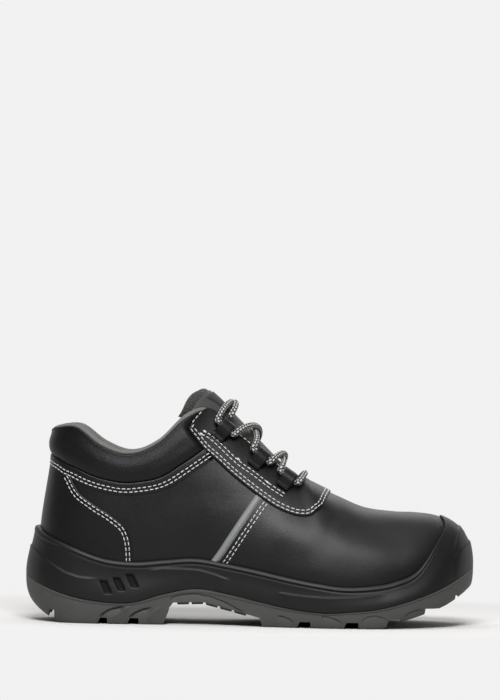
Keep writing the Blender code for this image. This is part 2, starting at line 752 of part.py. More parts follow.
def build_collar():
    lows = {side: [locate(side, row.seam_x, row.seam_z) for row in COLLAR] for side in (-1, 1)}
    highs = {side: [rim_place(side, row.rim_x) for row in COLLAR] for side in (-1, 1)}
    for places in (lows, highs):
        for side in (-1, 1):
            places[side][0][0] = 0.0
    rows = edge_rows(round_heel(lows[-1], lows[1]), round_heel(highs[-1], highs[1]))
    return overlay("collar", rows, COLLAR_ACROSS, collar_thickness, "black_leather")


def above_cup(side, x):
    """Place on the wall just over the midsole's edge."""
    u, _ = locate(side, x, SOLE[0].edge_z)
    for _ in range(6):
        u, _ = locate(side, x, surface(u, cup_edge(u) + OVER_CUP)[2])
    return np.array((u, cup_edge(u) + OVER_CUP))


def build_counter():
    lows = {side: [above_cup(side, row.low_x) for row in COUNTER[::-1]] for side in (-1, 1)}
    highs = {side: [locate(side, row.high_x, row.high_z) for row in COUNTER[::-1]] for side in (-1, 1)}
    for places in (lows, highs):
        for side in (-1, 1):
            places[side][0][0] = 0.0
    rows = edge_rows(round_heel(lows[-1], lows[1]), round_heel(highs[-1], highs[1]))
    return overlay("counter", rows, COUNTER_ACROSS, lambda b: OVERLAY, "black_leather")


def build_eyestay():
    halves = {}
    for side in (-1, 1):
        lows = [locate(side, row.out_x, row.out_z) for row in EYESTAY] + [rim_place(side, EYESTAY_RIDGE)]
        highs = [locate(side, row.in_x, row.in_z) for row in EYESTAY]
        highs.append(np.array((-side * float(THROAT_END), 1.0)))
        over_ridge = np.array((lows[-2][0], 2.0 - lows[-2][1]))
        halves[side] = list(zip(smooth_places(lows, OVERLAY_STEPS, over_ridge),
                                smooth_places(highs, OVERLAY_STEPS)))
    rows = halves[-1] + halves[1][-2::-1]
    return overlay("eyestay", rows, EYESTAY_ACROSS, lambda b: OVERLAY, "black_leather")


def build_piping(side, name):
    slope = np.array((PIPING[-1].x - PIPING[0].x, PIPING[-1].z - PIPING[0].z))
    slope = slope / np.linalg.norm(slope)
    across = np.array((-slope[1], slope[0])) * PIPING_WIDTH / 2
    lows = [locate(side, p.x - across[0], p.z - across[1]) for p in PIPING]
    highs = [locate(side, p.x + across[0], p.z + across[1]) for p in PIPING]
    return overlay(name, edge_rows(lows, highs), PIPING_ACROSS,
                   lambda b: PIPING_EDGE + PIPING_HEIGHT * math.sin(math.pi * b), "reflective_grey")


def loop_axes(side, place):
    """Seat of a lace loop on the eyestay, with its directions along the throat, across and out."""
    u, v = locate(side, place.x, place.z)
    out = normal_at(u, v)
    throat = np.array((LOOPS[-1].x - LOOPS[0].x, 0.0, LOOPS[-1].z - LOOPS[0].z))
    along = throat - out * np.dot(throat, out)
    along = along / np.linalg.norm(along)
    seat = skin(u, v, OVERLAY_GAP + OVERLAY + GAP)
    return seat, along, np.cross(out, along), out


def build_loop(side, place, name):
    seat, along, across, out = loop_axes(side, place)
    shell, bore = [], []
    for j in range(LOOP_SIDES):
        angle = 2 * math.pi * j / LOOP_SIDES - math.pi / 2
        c, h = math.cos(angle), math.sin(angle)
        height = LOOP_HEIGHT / 2 * (1 + math.copysign(abs(h) ** LOOP_SQUARENESS, h))
        shell.append((LOOP_HALF * math.copysign(abs(c) ** LOOP_SQUARENESS, c), height))
        bore.append((LOOP_BORE / 2 * c, LOOP_AXIS + LOOP_BORE / 2 * h))
    rings = []
    for outline, end in ((shell, -0.5), (shell, 0.5), (bore, 0.5), (bore, -0.5)):
        rings.append([seat + across * c + out * h + along * LOOP_LENGTH * end for c, h in outline])
    points = [p for ring in rings for p in ring]
    numbers = [[k * LOOP_SIDES + j for j in range(LOOP_SIDES)] for k in range(4)]
    faces = []
    for k in range(4):
        faces += flat(strip_faces(numbers[k], numbers[(k + 1) % 4], True))
    return solid(name, points, faces, "black_leather")


def strand_end(strand, side, number, end):
    """Points from a strand's end to where it turns up: straight out of a loop, or hidden beside it."""
    seat, along, across, out = loop_axes(side, LOOPS[number])
    for hidden in HIDDEN_ENDS:
        if hidden.node == strand.node and hidden.side == side:
            reach = LOOP_LENGTH / 2 + hidden.beyond
            height = LOOP_AXIS - hidden.below
            return [seat + out * height + along * end * reach - across * side * hidden.beside]
    mouth = seat + out * LOOP_AXIS + along * end * (LOOP_LENGTH / 2 + GAP)
    return [mouth, mouth + along * end * LACE_LEAD]


def tube(name, route, radius, sides, material):
    """Round cord along a route, closed at both ends."""
    rings = []
    for k, point in enumerate(route):
        ahead = route[min(k + 1, len(route) - 1)] - route[max(k - 1, 0)]
        ahead = ahead / np.linalg.norm(ahead)
        first = np.cross(ahead, (0.3, 0.0, 1.0))
        first = first / np.linalg.norm(first)
        second = np.cross(ahead, first)
        angles = [2 * math.pi * j / sides for j in range(sides)]
        rings.append([point + radius * (first * math.cos(a) + second * math.sin(a)) for a in angles])
    points = [p for ring in rings for p in ring]
    numbers = [[k * sides + j for j in range(sides)] for k in range(len(rings))]
    faces = [tuple(numbers[0]), tuple(numbers[-1][::-1])]
    for first, second in zip(numbers, numbers[1:]):
        faces += flat(strip_faces(first, second, True))
    return solid(name, points, faces, material)


def strand_route(strand):
    """From an outer loop, over the tongue in half an ellipse, to an inner loop."""
    head = strand_end(strand, -1, strand.outer, strand.outer_end)
    tail = strand_end(strand, 1, strand.inner, strand.inner_end)
    first, last = head[-1], tail[-1]
    throat = np.array((LOOPS[-1].x - LOOPS[0].x, 0.0, LOOPS[-1].z - LOOPS[0].z))
    throat = throat / np.linalg.norm(throat)
    up = np.array((-throat[2], 0.0, throat[0]))
    route = head[:-1]
    for k in range(LACE_STEPS + 1):
        angle = math.pi * k / LACE_STEPS
        across = (1 - math.cos(angle)) / 2
        lift = math.sin(angle)
        arch = up * strand.rise * lift - throat * strand.slide * lift
        route.append(first + (last - first) * across + arch)
    return route + tail[:-1]


def build_lace():
    names = list(dict.fromkeys(strand.node for strand in STRANDS))
    for name in names:
        strands = [strand for strand in STRANDS if strand.node == name]
        cord = tube(name, strand_route(strands[0]), LACE / 2, LACE_SIDES, "black_cord")
        for strand in strands[1:]:
            other = tube(f"cutter_{name}", strand_route(strand), LACE / 2, LACE_SIDES, "black_cord")
            cut(cord, other)
            cord.modifiers[-1].operation = "UNION"


def main():
    for old in list(bpy.data.objects):
        bpy.data.objects.remove(old, do_unlink=True)
    build_outsole()
    build_midsole()
    build_upper()
    build_insole()
    build_tongue()
    build_collar()
    build_counter()
    build_eyestay()
    for side, word in ((-1, "outer"), (1, "inner")):
        build_piping(side, f"piping_{word}")
        for k, place in enumerate(LOOPS):
            build_loop(side, place, f"lace_loop_{word}_{k + 1}")
    build_lace()


main()
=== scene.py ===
import json
import math

import bmesh
import bpy
import numpy as np
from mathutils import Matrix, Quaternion, Vector

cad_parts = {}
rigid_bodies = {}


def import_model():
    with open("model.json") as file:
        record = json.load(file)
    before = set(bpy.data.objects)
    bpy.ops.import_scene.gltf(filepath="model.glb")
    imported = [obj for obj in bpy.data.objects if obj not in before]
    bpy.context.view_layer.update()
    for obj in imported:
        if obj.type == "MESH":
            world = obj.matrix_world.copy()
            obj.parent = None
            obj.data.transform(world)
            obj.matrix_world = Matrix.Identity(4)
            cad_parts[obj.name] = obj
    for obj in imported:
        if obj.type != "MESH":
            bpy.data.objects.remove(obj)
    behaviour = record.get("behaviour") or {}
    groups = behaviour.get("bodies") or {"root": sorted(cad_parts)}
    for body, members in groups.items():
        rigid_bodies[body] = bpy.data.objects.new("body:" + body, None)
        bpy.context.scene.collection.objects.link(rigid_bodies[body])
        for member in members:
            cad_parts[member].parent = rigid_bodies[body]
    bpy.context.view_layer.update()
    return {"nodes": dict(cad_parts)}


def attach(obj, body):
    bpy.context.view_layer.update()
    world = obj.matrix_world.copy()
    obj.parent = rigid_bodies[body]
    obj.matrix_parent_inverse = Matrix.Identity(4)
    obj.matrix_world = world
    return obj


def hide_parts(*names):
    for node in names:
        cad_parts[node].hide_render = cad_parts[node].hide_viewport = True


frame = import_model()
print("frame:", len(frame["nodes"]), "solids loaded")

mm = 0.001  # tables below are in millimetres, toe at +x, outer side at -y

# the last, one row per station from heel back to toe tip
lastShape = {
    "rows": [
        # footX, footLat, footMed, footZ, belly, rise, topX, topMid, topGap, topZ, crown, drop, turn
        (-140, 0, 0, 30, 8, 30, -134, 0, 0, 131, 1.5, 38, -90),
        (-133.5, 17.5, 17, 30, 7, 28, -130.5, 0, 13, 133, 1.5, 38, -58),
        (-119, 28, 27, 29.5, 6, 26, -117, 0, 23.5, 133.8, 1.5, 38, -24),
        (-98, 31.5, 30, 29, 6, 25, -100, 0, 30, 122.3, 2, 34, -5),
        (-77, 31.5, 28.5, 28.5, 6, 25, -82, 0, 32, 116.6, 2, 32, 0),
        (-57, 31, 26.5, 28.5, 6, 25, -63, 0, 31, 124.2, 3, 35, 0),
        (-36, 32, 25.5, 28.5, 7, 25, -45, 0.5, 27, 141.4, 6, 40, 0),
        (-15, 35, 27, 27.5, 8, 25, -29, 1, 19.5, 145.8, 12, 36, 0),
        (6, 39, 31, 25, 9, 24, -8, 1.5, 17.5, 128.4, 14, 26, 0),
        (27, 43, 37, 21.5, 10, 23, 12, 2, 15.5, 111.9, 16, 16, 0),
        (46, 45.5, 42.5, 19, 10, 22, 30, 2.5, 13.5, 98.8, 19, 7, 0),
        (63, 46, 45, 18.5, 10, 21, 38.5, 3, 12, 96.3, 18, 0, 0),
        (80, 44.5, 46, 19.8, 10, 21, 57, 3.5, 0, 87.7, 30, 0, 5),
        (96, 41, 44, 23, 9, 20, 76, 4, 0, 79.9, 30, 0.5, 12),
        (110.5, 35, 40, 27, 9, 19, 97, 4.5, 0, 77, 29, 0.8, 25),
        (124, 26.5, 33.5, 31.5, 8, 19, 110, 5, 0, 76.6, 28, 1.5, 44),
        (136, 12.5, 21.5, 36, 8, 19, 117.5, 5, 0, 76.1, 26, 2.5, 66),
        (143.5, -5, 5, 38.5, 8.5, 18, 120, 5, 0, 75.8, 25, 3, 90),
    ],
    "throatArc": 10,  # the throat's front end is an arc from this station
    "throatEnd": 11,  # to this one, and from here on both halves meet on the ridge
    "throatBend": 8,  # the higher, the nearer to its top the arc shapes the wall
    "wall": 2.2,      # leather and lining
}
# the sole at the same stations
soleShape = {
    "rows": [
        # x, lat, med, borderZ, edgeZ, treadIn, treadZ
        (-152.5, 0, 0, 31.8, 64.5, 17, 6),
        (-144, 21.5, 21, 26.7, 58, 13, 3),
        (-127, 34, 33.5, 20, 50.5, 4, 0),
        (-104, 39, 38, 15.2, 43, 2.5, 0),
        (-80, 39.5, 36.5, 14.4, 41, 2.5, 0),
        (-58, 38.5, 34, 20.5, 42.6, 2.5, 0),
        (-36, 39, 32.5, 24.4, 44, 2.5, 0),
        (-14, 42, 33.5, 21.3, 41, 2.5, 0),
        (8, 46.5, 37.5, 16.4, 37, 2.5, 0),
        (30, 50.5, 44, 12.1, 32.5, 2.5, 0),
        (50, 53, 49.5, 10.2, 29, 2.5, 0),
        (68, 53.5, 52.5, 11.2, 26.8, 2.5, 0),
        (86, 52, 53.5, 13.2, 27.5, 2.5, 0),
        (103, 48, 51.5, 17.4, 30.5, 3, 5),
        (119, 41, 47, 22.8, 38, 3, 10),
        (134, 30.5, 39, 29.4, 58.5, 3, 15.4),
        (146.5, 14.5, 24.5, 37, 72, 3.2, 22.4),
        (152.5, -5, 5, 41, 73.5, 2, 27.4),
    ],
    "seam": 0.2,  # half the joint between midsole and outsole
}
toeStation = len(lastShape["rows"]) - 1
loopEnd = 2 * toeStation


def wallRow(row, side):
    footX, footLat, footMed, footZ, belly, rise, topX, topMid, topGap, topZ, crown, drop, turn = row
    foot = footLat if side < 0 else footMed
    turn = math.radians(turn)
    return (footX, side * foot, footZ, belly, rise, topX, topMid + side * topGap, topZ, crown, drop,
            math.sin(turn), side * math.cos(turn), topMid)


def soleRow(row, side):
    x, lat, med, borderZ, edgeZ, treadIn, treadZ = row
    return (x, side * (lat if side < 0 else med), borderZ, edgeZ, treadIn, treadZ)


def loopOf(rows, pick):  # outer side heel to toe, then inner side back to the heel
    return np.array([pick(r, -1) for r in rows] + [pick(r, 1) for r in rows[-2:0:-1]], float)


wallLoop = loopOf(lastShape["rows"], wallRow)
soleLoop = loopOf(soleShape["rows"], soleRow)


def spline(a, b, c, d, f):
    return 0.5 * (2 * b + (c - a) * f + (2 * a - 5 * b + 4 * c - d) * f ** 2
                  + (3 * b - a - 3 * c + d) * f ** 3)


def onLoop(table, u):
    base = np.floor(u).astype(int)
    a, b, c, d = (table[(base + k) % len(table)] for k in (-1, 0, 1, 2))
    return spline(a, b, c, d, (u - base)[..., None])


def smoothRun(places, steps):  # rows of places with more rows between them
    places = np.asarray(places, float)
    ends = np.vstack([2 * places[0] - places[1], places, 2 * places[-1] - places[-2]])
    run = [spline(*ends[k:k + 4], j / steps) for k in range(len(places) - 1) for j in range(steps)]
    return np.array(run + [places[-1]])


def stationOf(u):
    u = np.mod(u, loopEnd)
    return np.minimum(u, loopEnd - u)


def unit(vectors):
    return vectors / np.maximum(np.linalg.norm(vectors, axis=-1, keepdims=True), 1e-9)


def headingAt(u):
    row = onLoop(wallLoop, u)
    return unit(np.stack([row[..., 10], row[..., 11], np.zeros(np.shape(u))], -1))


def bezier(a, b, c, d, t):
    t = np.asarray(t, float)[..., None]
    return (1 - t) ** 3 * a + 3 * (1 - t) ** 2 * t * b + 3 * (1 - t) * t ** 2 * c + t ** 3 * d


def shoePoint(u, v):  # u round the shoe, v from the sole (0) to collar or ridge (1)
    u, v = np.broadcast_arrays(np.asarray(u, float), np.asarray(v, float))
    row = onLoop(wallLoop, u)
    station = stationOf(u)
    foot, rim, top = row[..., 0:3], row[..., 5:8], row[..., 5:8].copy()
    middle = row[..., 12]
    arc, end = lastShape["throatArc"], lastShape["throatEnd"]
    startX, endX = lastShape["rows"][arc][6], lastShape["rows"][end][6]
    angle = (station - arc) * math.pi / 2
    onArc = (station > arc) & (station < end)
    halfGap = np.copysign(lastShape["rows"][arc][8], row[..., 1])
    top[..., 0] = np.where(onArc, startX + (endX - startX) * np.sin(angle), top[..., 0])
    top[..., 1] = np.where(onArc, middle + halfGap * np.cos(angle), top[..., 1])
    top[..., 1] = np.where(station >= end, middle, top[..., 1])
    out = headingAt(u)
    up = np.array((0.0, 0.0, 1.0))
    low = foot + out * row[..., 3:4] + up * row[..., 4:5]
    high = rim + out * row[..., 8:9] - up * row[..., 9:10]
    return bezier(foot, low, high, rim, v) + (top - rim) * v[..., None] ** lastShape["throatBend"]


def rawNormal(u, v):
    step = 0.01
    along = shoePoint(u + step, v) - shoePoint(u - step, v)
    short = np.linalg.norm(along, axis=-1, keepdims=True) < 0.001
    along = np.where(short, np.cross((0.0, 0.0, 1.0), headingAt(u)), along)
    across = shoePoint(u, np.minimum(v + step, 1)) - shoePoint(u, np.maximum(v - step, 0))
    return unit(np.cross(along, across))


def shoeNormal(u, v):
    u, v = np.broadcast_arrays(np.asarray(u, float), np.asarray(v, float))
    normal = rawNormal(u, v)
    ridge = ((v > 0.999) & (stationOf(u) >= lastShape["throatEnd"]))[..., None]
    both = normal + rawNormal(loopEnd - u, v)
    both[..., 1] = 0
    return np.where(ridge, unit(both), normal)


def skin(u, v, off):  # point held off the upper's outer face
    return shoePoint(u, v) + shoeNormal(u, v) * np.asarray(off, float)[..., None]


def vAtHeight(u, z):
    low, high = np.zeros(np.shape(u)), np.ones(np.shape(u))
    for _ in range(30):
        mid = (low + high) / 2
        under = shoePoint(u, mid)[..., 2] < z
        low, high = np.where(under, mid, low), np.where(under, high, mid)
    return (low + high) / 2


def cupEdge(u):  # how far up the wall the midsole reaches
    return vAtHeight(u, onLoop(soleLoop, u)[..., 3])


# how a place seen from the side is looked for: grid of first guesses, rounds, longest move a round
search = {"stations": 69, "heights": 41, "rounds": 30, "step": 0.002, "moves": (0.4, 0.1), "flat": 0.05}
sideStart = np.array([(s, v) for s in np.linspace(0, toeStation, search["stations"])
                      for v in np.linspace(0, 1, search["heights"])])
sideStartXz = shoePoint(sideStart[:, 0], sideStart[:, 1])[:, (0, 2)]


def locate(side, places):  # u, v of points seen from the side; above the rim they land on it
    places = np.asarray(places, float)[:, :2]
    near = np.argmin(((places[:, None] - sideStartXz[None]) ** 2).sum(-1), axis=1)
    s, v = sideStart[near, 0].copy(), sideStart[near, 1].copy()
    step, (farU, farV) = search["step"], search["moves"]
    for _ in range(search["rounds"]):
        here = shoePoint(-side * s, v)
        du = (shoePoint(-side * (s + step), v) - here) / step
        dv = (here - shoePoint(-side * s, v - step)) / step
        slopes = np.stack([du[:, (0, 2)], dv[:, (0, 2)]], -1)
        miss = (places - here[:, (0, 2)])[..., None]
        move = (np.linalg.pinv(slopes, rcond=search["flat"]) @ miss)[..., 0]
        s = np.clip(s + np.clip(move[:, 0], -farU, farU), 0, toeStation)
        v = np.clip(v + np.clip(move[:, 1], -farV, farV), 0, 1)
    return np.stack([-side * s, v], -1)


def rimPlace(side, xs):  # u, v of the topline or ridge at these x
    low, high = np.zeros(len(xs)), np.full(len(xs), float(toeStation))
    for _ in range(40):
        mid = (low + high) / 2
        behind = shoePoint(mid, 1.0)[:, 0] < xs
        low, high = np.where(behind, mid, low), np.where(behind, high, mid)
    return np.stack([-side * low, np.ones(len(xs))], -1)


def slide(path, distance):  # the path moved sideways on the shoe, by millimetres
    u, v = path.T
    step = 0.004
    du = (shoePoint(u + step, v) - shoePoint(u - step, v)) / (2 * step)
    above, below = np.minimum(v + step, 1), v - step
    dv = (shoePoint(u, above) - shoePoint(u, below)) / (above - below)[:, None]
    ahead = unit(np.gradient(shoePoint(u, v), axis=0))
    sideways = np.cross(shoeNormal(u, v), ahead) * np.asarray(distance, float).reshape(-1, 1)
    move = np.linalg.pinv(np.stack([du, dv], -1)) @ sideways[..., None]
    moved = path + move[..., 0]
    moved[:, 1] = np.clip(moved[:, 1], 0, 1)
    return moved


def softStep(x):
    x = np.clip(x, 0, 1)
    return x * x * (3 - 2 * x)


def roundEdge(distance, radius):  # 0 at an edge, 1 from one radius in, on a quarter circle
    return np.sqrt(1 - (1 - np.clip(distance / radius, 0, 1)) ** 2)


def lengthAlong(points):
    return np.concatenate([[0], np.cumsum(np.linalg.norm(np.diff(points, axis=0), axis=1))])


def atMarks(marks, run, points):  # points at these lengths along a run
    return np.stack([np.interp(marks, run, points[:, k]) for k in range(3)], -1)


def onGrid(grid, off):  # points held off the upper at a grid of u, v places
    return skin(grid[..., 0], grid[..., 1], off)


def flowOf(along, across):  # millimetres along and across a sheet, for its weave
    return np.stack([np.broadcast_to(along[:, None], across.shape), across], -1)


# meshes
def gridQuads(rows, cols, closeRows=False, closeCols=False):
    r = np.arange(rows if closeRows else rows - 1)
    c = np.arange(cols if closeCols else cols - 1)
    a, b = (k.ravel() for k in np.meshgrid(r, c, indexing="ij"))
    a2, b2 = (a + 1) % rows, (b + 1) % cols
    return np.stack([a * cols + b, a * cols + b2, a2 * cols + b2, a2 * cols + b], -1)


def acrossQuads(ring):  # faces from side to side inside one closed ring
    faces = []
    for k in range(len(ring) // 2):
        corners = (ring[k], ring[k + 1], ring[-(k + 1)], ring[-k])
        faces.append(list(dict.fromkeys(int(c) for c in corners)))
    return faces


def ringFaces(rows, count):  # a stack of rings round the shoe, both ends filled from side to side
    ends = acrossQuads(np.arange(count)) + acrossQuads(np.arange(count) + (rows - 1) * count)
    return gridQuads(rows, count, closeCols=True).tolist() + ends


def tubeFaces(rows, sides):  # a run of small rings, one face at each end
    last = (rows - 1) * sides
    ends = [list(range(sides)), list(range(last, last + sides))]
    return gridQuads(rows, sides, closeCols=True).tolist() + ends


def facesOut(mesh, weld=0.0):  # all faces turned out, after joining points nearer than the weld
    work = bmesh.new()
    work.from_mesh(mesh)
    if weld:
        bmesh.ops.remove_doubles(work, verts=work.verts, dist=weld * mm)
        bmesh.ops.dissolve_degenerate(work, edges=work.edges, dist=weld * mm)
    bmesh.ops.recalc_face_normals(work, faces=work.faces)
    work.to_mesh(mesh)
    work.free()


def addMesh(name, mesh, finish, nodes=()):
    mesh.shade_smooth()
    piece = bpy.data.objects.new(name, mesh)
    bpy.context.scene.collection.objects.link(piece)
    mesh.materials.append(finish)
    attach(piece, "root")
    if nodes:
        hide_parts(*nodes)
    return piece


def addPiece(name, points, faces, finish, slot, nodes=(), flow=None, weld=0.002):
    mesh = bpy.data.meshes.new(name)
    mesh.from_pydata((np.asarray(points).reshape(-1, 3) * mm).tolist(), [], [list(f) for f in faces])
    if flow is not None:  # two values a point, such as the run of a weave
        layer = mesh.attributes.new("flow", "FLOAT_VECTOR", "POINT")
        flat = np.zeros((len(mesh.vertices), 3), np.float32)
        flat[:, :2] = np.asarray(flow).reshape(-1, 2)
        layer.data.foreach_set("vector", flat.ravel())
    facesOut(mesh, weld)
    return addMesh(name, mesh, finish, nodes)


def sheetFaces(rows, cols):  # rings of front and back points, closed at both ends
    faces = gridQuads(rows, 2 * cols, closeCols=True).tolist()
    for row in (0, rows - 1):
        ring = row * 2 * cols
        faces += [[ring + j, ring + j + 1, ring + 2 * cols - 2 - j, ring + 2 * cols - 1 - j]
                  for j in range(cols - 1)]
    return faces


def addSheet(name, front, back, finish, slot, nodes=(), flow=None):
    rows, cols = front.shape[:2]
    points = np.concatenate([front, back[:, ::-1]], axis=1)
    if flow is not None:
        flow = np.concatenate([flow, flow[:, ::-1]], axis=1)
    return addPiece(name, points, sheetFaces(rows, cols), finish, slot, nodes, flow)


def joinShapes(shapes):  # many small closed shapes as one list of points and faces
    points, faces, start = [], [], 0
    for shapePoints, shapeFaces in shapes:
        points.append(shapePoints)
        faces += [[start + k for k in face] for face in shapeFaces]
        start += len(shapePoints)
    return np.vstack(points), faces


# finishes
def addNode(tree, kind, inputs=None, **settings):
    made = tree.nodes.new(kind)
    for key, value in settings.items():
        setattr(made, key, value)
    for key, value in (inputs or {}).items():
        if isinstance(value, bpy.types.NodeSocket):
            tree.links.new(value, made.inputs[key])
        else:
            made.inputs[key].default_value = value
    return made


def maths(tree, operation, a, b=0.0, c=0.0):
    return addNode(tree, "ShaderNodeMath", {0: a, 1: b, 2: c}, operation=operation).outputs[0]


def vectorMaths(tree, operation, a, b):
    return addNode(tree, "ShaderNodeVectorMath", {0: a, 1: b}, operation=operation).outputs[0]


def mixed(tree, a, b, share):  # this share of a and the rest of b
    return maths(tree, "MULTIPLY_ADD", a, share, maths(tree, "MULTIPLY", b, 1 - share))


def blendColour(tree, factor, a, b):
    mix = addNode(tree, "ShaderNodeMix", data_type="RGBA")
    for key, kind, value in (("Factor", "VALUE", factor), ("A", "RGBA", a), ("B", "RGBA", b)):
        socket = next(s for s in mix.inputs if s.name == key and s.type == kind)
        if isinstance(value, bpy.types.NodeSocket):
            tree.links.new(value, socket)
        else:
            socket.default_value = (*value, 1)
    return next(s for s in mix.outputs if s.type == "RGBA")


def shades(colour, *shares):
    return [tuple(c * share for c in colour) for share in shares]


def toneInto(tree, shader, tone, colour, dark, light):  # between two shades of one colour
    tree.links.new(blendColour(tree, tone, *shades(colour, dark, light)), shader.inputs["Base Color"])


def rangeOf(tree, value, fromLow, fromHigh, toLow, toHigh):
    return addNode(tree, "ShaderNodeMapRange", {"Value": value, "From Min": fromLow, "From Max": fromHigh,
                                                "To Min": toLow, "To Max": toHigh}).outputs[0]


def noise(tree, scale, detail=3.0, rough=0.55):
    place = addNode(tree, "ShaderNodeTexCoord").outputs["Object"]
    inputs = {"Vector": place, "Scale": scale, "Detail": detail, "Roughness": rough}
    return addNode(tree, "ShaderNodeTexNoise", inputs).outputs[0]


def newFinish(name, settings):
    finish = bpy.data.materials.new(name)
    finish.use_nodes = True
    tree = finish.node_tree
    shader = tree.nodes["Principled BSDF"]
    shader.inputs["Specular IOR Level"].default_value = settings.get("gloss", 0.5)
    shader.inputs["Sheen Weight"].default_value = settings.get("sheen", 0.0)
    shader.inputs["Sheen Roughness"].default_value = 0.5
    finish.diffuse_color = (*settings["colour"], 1)
    return finish, tree, shader


def bumpInto(tree, shader, layers):  # (height, strength, millimetres) from coarse to fine
    normal = None
    for height, strength, depth in layers:
        inputs = {"Height": height, "Strength": strength, "Distance": depth * mm}
        if normal is not None:
            inputs["Normal"] = normal
        normal = addNode(tree, "ShaderNodeBump", inputs).outputs[0]
    tree.links.new(normal, shader.inputs["Normal"])


def flowAxes(tree):  # the two values that a point of the mesh carries
    flow = addNode(tree, "ShaderNodeAttribute", attribute_name="flow").outputs["Vector"]
    split = addNode(tree, "ShaderNodeSeparateXYZ", {0: flow})
    return split.outputs[0], split.outputs[1]


leatherLook = {
    "warp": 260.0, "bend": 0.0016, "cellEdge": 0.22,  # how the cells of the grain wander, and their rounding
    "cloud": 34.0, "pores": 2400.0,                   # broad tone of about 30 mm, and fine tooth
    "grainTone": 0.25, "dark": 0.82, "light": 1.2, "cloudRough": 0.16, "poreRough": 0.06,
    "cloudBump": (0.25, 0.6), "grainDeep": 0.12, "poreBump": (0.12, 0.05),
}


def leatherFinish(name, settings, look=leatherLook):
    finish, tree, shader = newFinish(name, settings)
    place = addNode(tree, "ShaderNodeTexCoord").outputs["Object"]
    warp = addNode(tree, "ShaderNodeTexNoise", {"Vector": place, "Scale": look["warp"], "Detail": 2.0})
    bend = vectorMaths(tree, "MULTIPLY", warp.outputs["Color"], (look["bend"],) * 3)
    bent = vectorMaths(tree, "ADD", place, bend)
    cells = addNode(tree, "ShaderNodeTexVoronoi", {"Vector": bent, "Scale": 1 / (settings["grain"] * mm)},
                    feature="DISTANCE_TO_EDGE").outputs["Distance"]
    grain = rangeOf(tree, cells, 0.0, look["cellEdge"], 0.0, 1.0)
    cloud, pores = noise(tree, look["cloud"]), noise(tree, look["pores"], 2.0)
    tone = mixed(tree, grain, cloud, look["grainTone"])
    toneInto(tree, shader, tone, settings["colour"], look["dark"], look["light"])
    least = settings["roughness"] - look["cloudRough"] / 2
    rough = maths(tree, "MULTIPLY_ADD", cloud, look["cloudRough"], least)
    tree.links.new(maths(tree, "MULTIPLY_ADD", pores, look["poreRough"], rough), shader.inputs["Roughness"])
    bumpInto(tree, shader, [(cloud, *look["cloudBump"]), (grain, settings["grainBump"], look["grainDeep"]),
                            (pores, *look["poreBump"])])
    return finish


mouldedLook = {
    "cloud": 42.0, "speckDetail": (4.0, 0.65), "speckTone": 0.45, "dark": 0.72, "light": 1.28,
    "speckRough": 0.18, "cloudBump": (0.2, 0.5), "speckDeep": 0.12, "slotShadeStart": 0.1,
}


def mouldedFinish(name, settings, look=mouldedLook):  # foam and rubber out of a mould
    finish, tree, shader = newFinish(name, settings)
    speck, cloud = noise(tree, settings["speck"], *look["speckDetail"]), noise(tree, look["cloud"])
    tone = mixed(tree, speck, cloud, look["speckTone"])
    toneInto(tree, shader, tone, settings["colour"], look["dark"], look["light"])
    least = settings["roughness"] - look["speckRough"] / 2
    tree.links.new(maths(tree, "MULTIPLY_ADD", speck, look["speckRough"], least), shader.inputs["Roughness"])
    bumpInto(tree, shader, [(cloud, *look["cloudBump"]), (speck, settings["bump"], look["speckDeep"])])
    if "slotShadeGloss" in settings:  # painted shade: the gloss is dulled down in the slots so they read dark
        slotShade, _ = flowAxes(tree)
        gloss = rangeOf(tree, slotShade, look["slotShadeStart"], 1.0, settings["gloss"], settings["slotShadeGloss"])
        tree.links.new(gloss, shader.inputs["Specular IOR Level"])
    return finish


def wave(tree, value, pitch, shift=0.0):  # 0 to 1 and back, once every pitch
    turn = maths(tree, "MULTIPLY_ADD", value, 2 * math.pi / pitch, shift)
    return maths(tree, "MULTIPLY_ADD", maths(tree, "SINE", turn), 0.5, 0.5)


knitLook = {
    "fuzz": 1800.0, "cloud": 60.0, "knitTone": 0.55, "fuzzTone": 0.3, "cloudTone": 0.15, "light": 1.35,
    "knitBump": 0.8, "fuzzBump": (0.3, 0.1),
}


def knitFinish(name, settings, look=knitLook):
    finish, tree, shader = newFinish(name, settings)
    along, across = flowAxes(tree)
    rows = maths(tree, "FLOOR", maths(tree, "DIVIDE", across, settings["pitch"]))
    loops = wave(tree, along, settings["pitch"], maths(tree, "MULTIPLY", rows, math.pi))
    knit = maths(tree, "MULTIPLY", loops, wave(tree, across, settings["pitch"]))
    fuzz, cloud = noise(tree, look["fuzz"]), noise(tree, look["cloud"])
    tone = maths(tree, "MULTIPLY", cloud, look["cloudTone"])
    tone = maths(tree, "MULTIPLY_ADD", fuzz, look["fuzzTone"], tone)
    tone = maths(tree, "MULTIPLY_ADD", knit, look["knitTone"], tone)
    toneInto(tree, shader, tone, settings["colour"], settings["hollow"], look["light"])
    shader.inputs["Roughness"].default_value = settings["roughness"]
    bumpInto(tree, shader, [(knit, look["knitBump"], settings["relief"]), (fuzz, *look["fuzzBump"])])
    return finish


threadLook = {"ply": 1500.0, "dark": 0.7, "light": 1.2, "bump": (0.4, 0.1)}


def threadFinish(name, settings, look=threadLook):
    finish, tree, shader = newFinish(name, settings)
    ply = noise(tree, look["ply"], 2.0)
    toneInto(tree, shader, ply, settings["colour"], look["dark"], look["light"])
    shader.inputs["Roughness"].default_value = settings["roughness"]
    bumpInto(tree, shader, [(ply, *look["bump"])])
    return finish


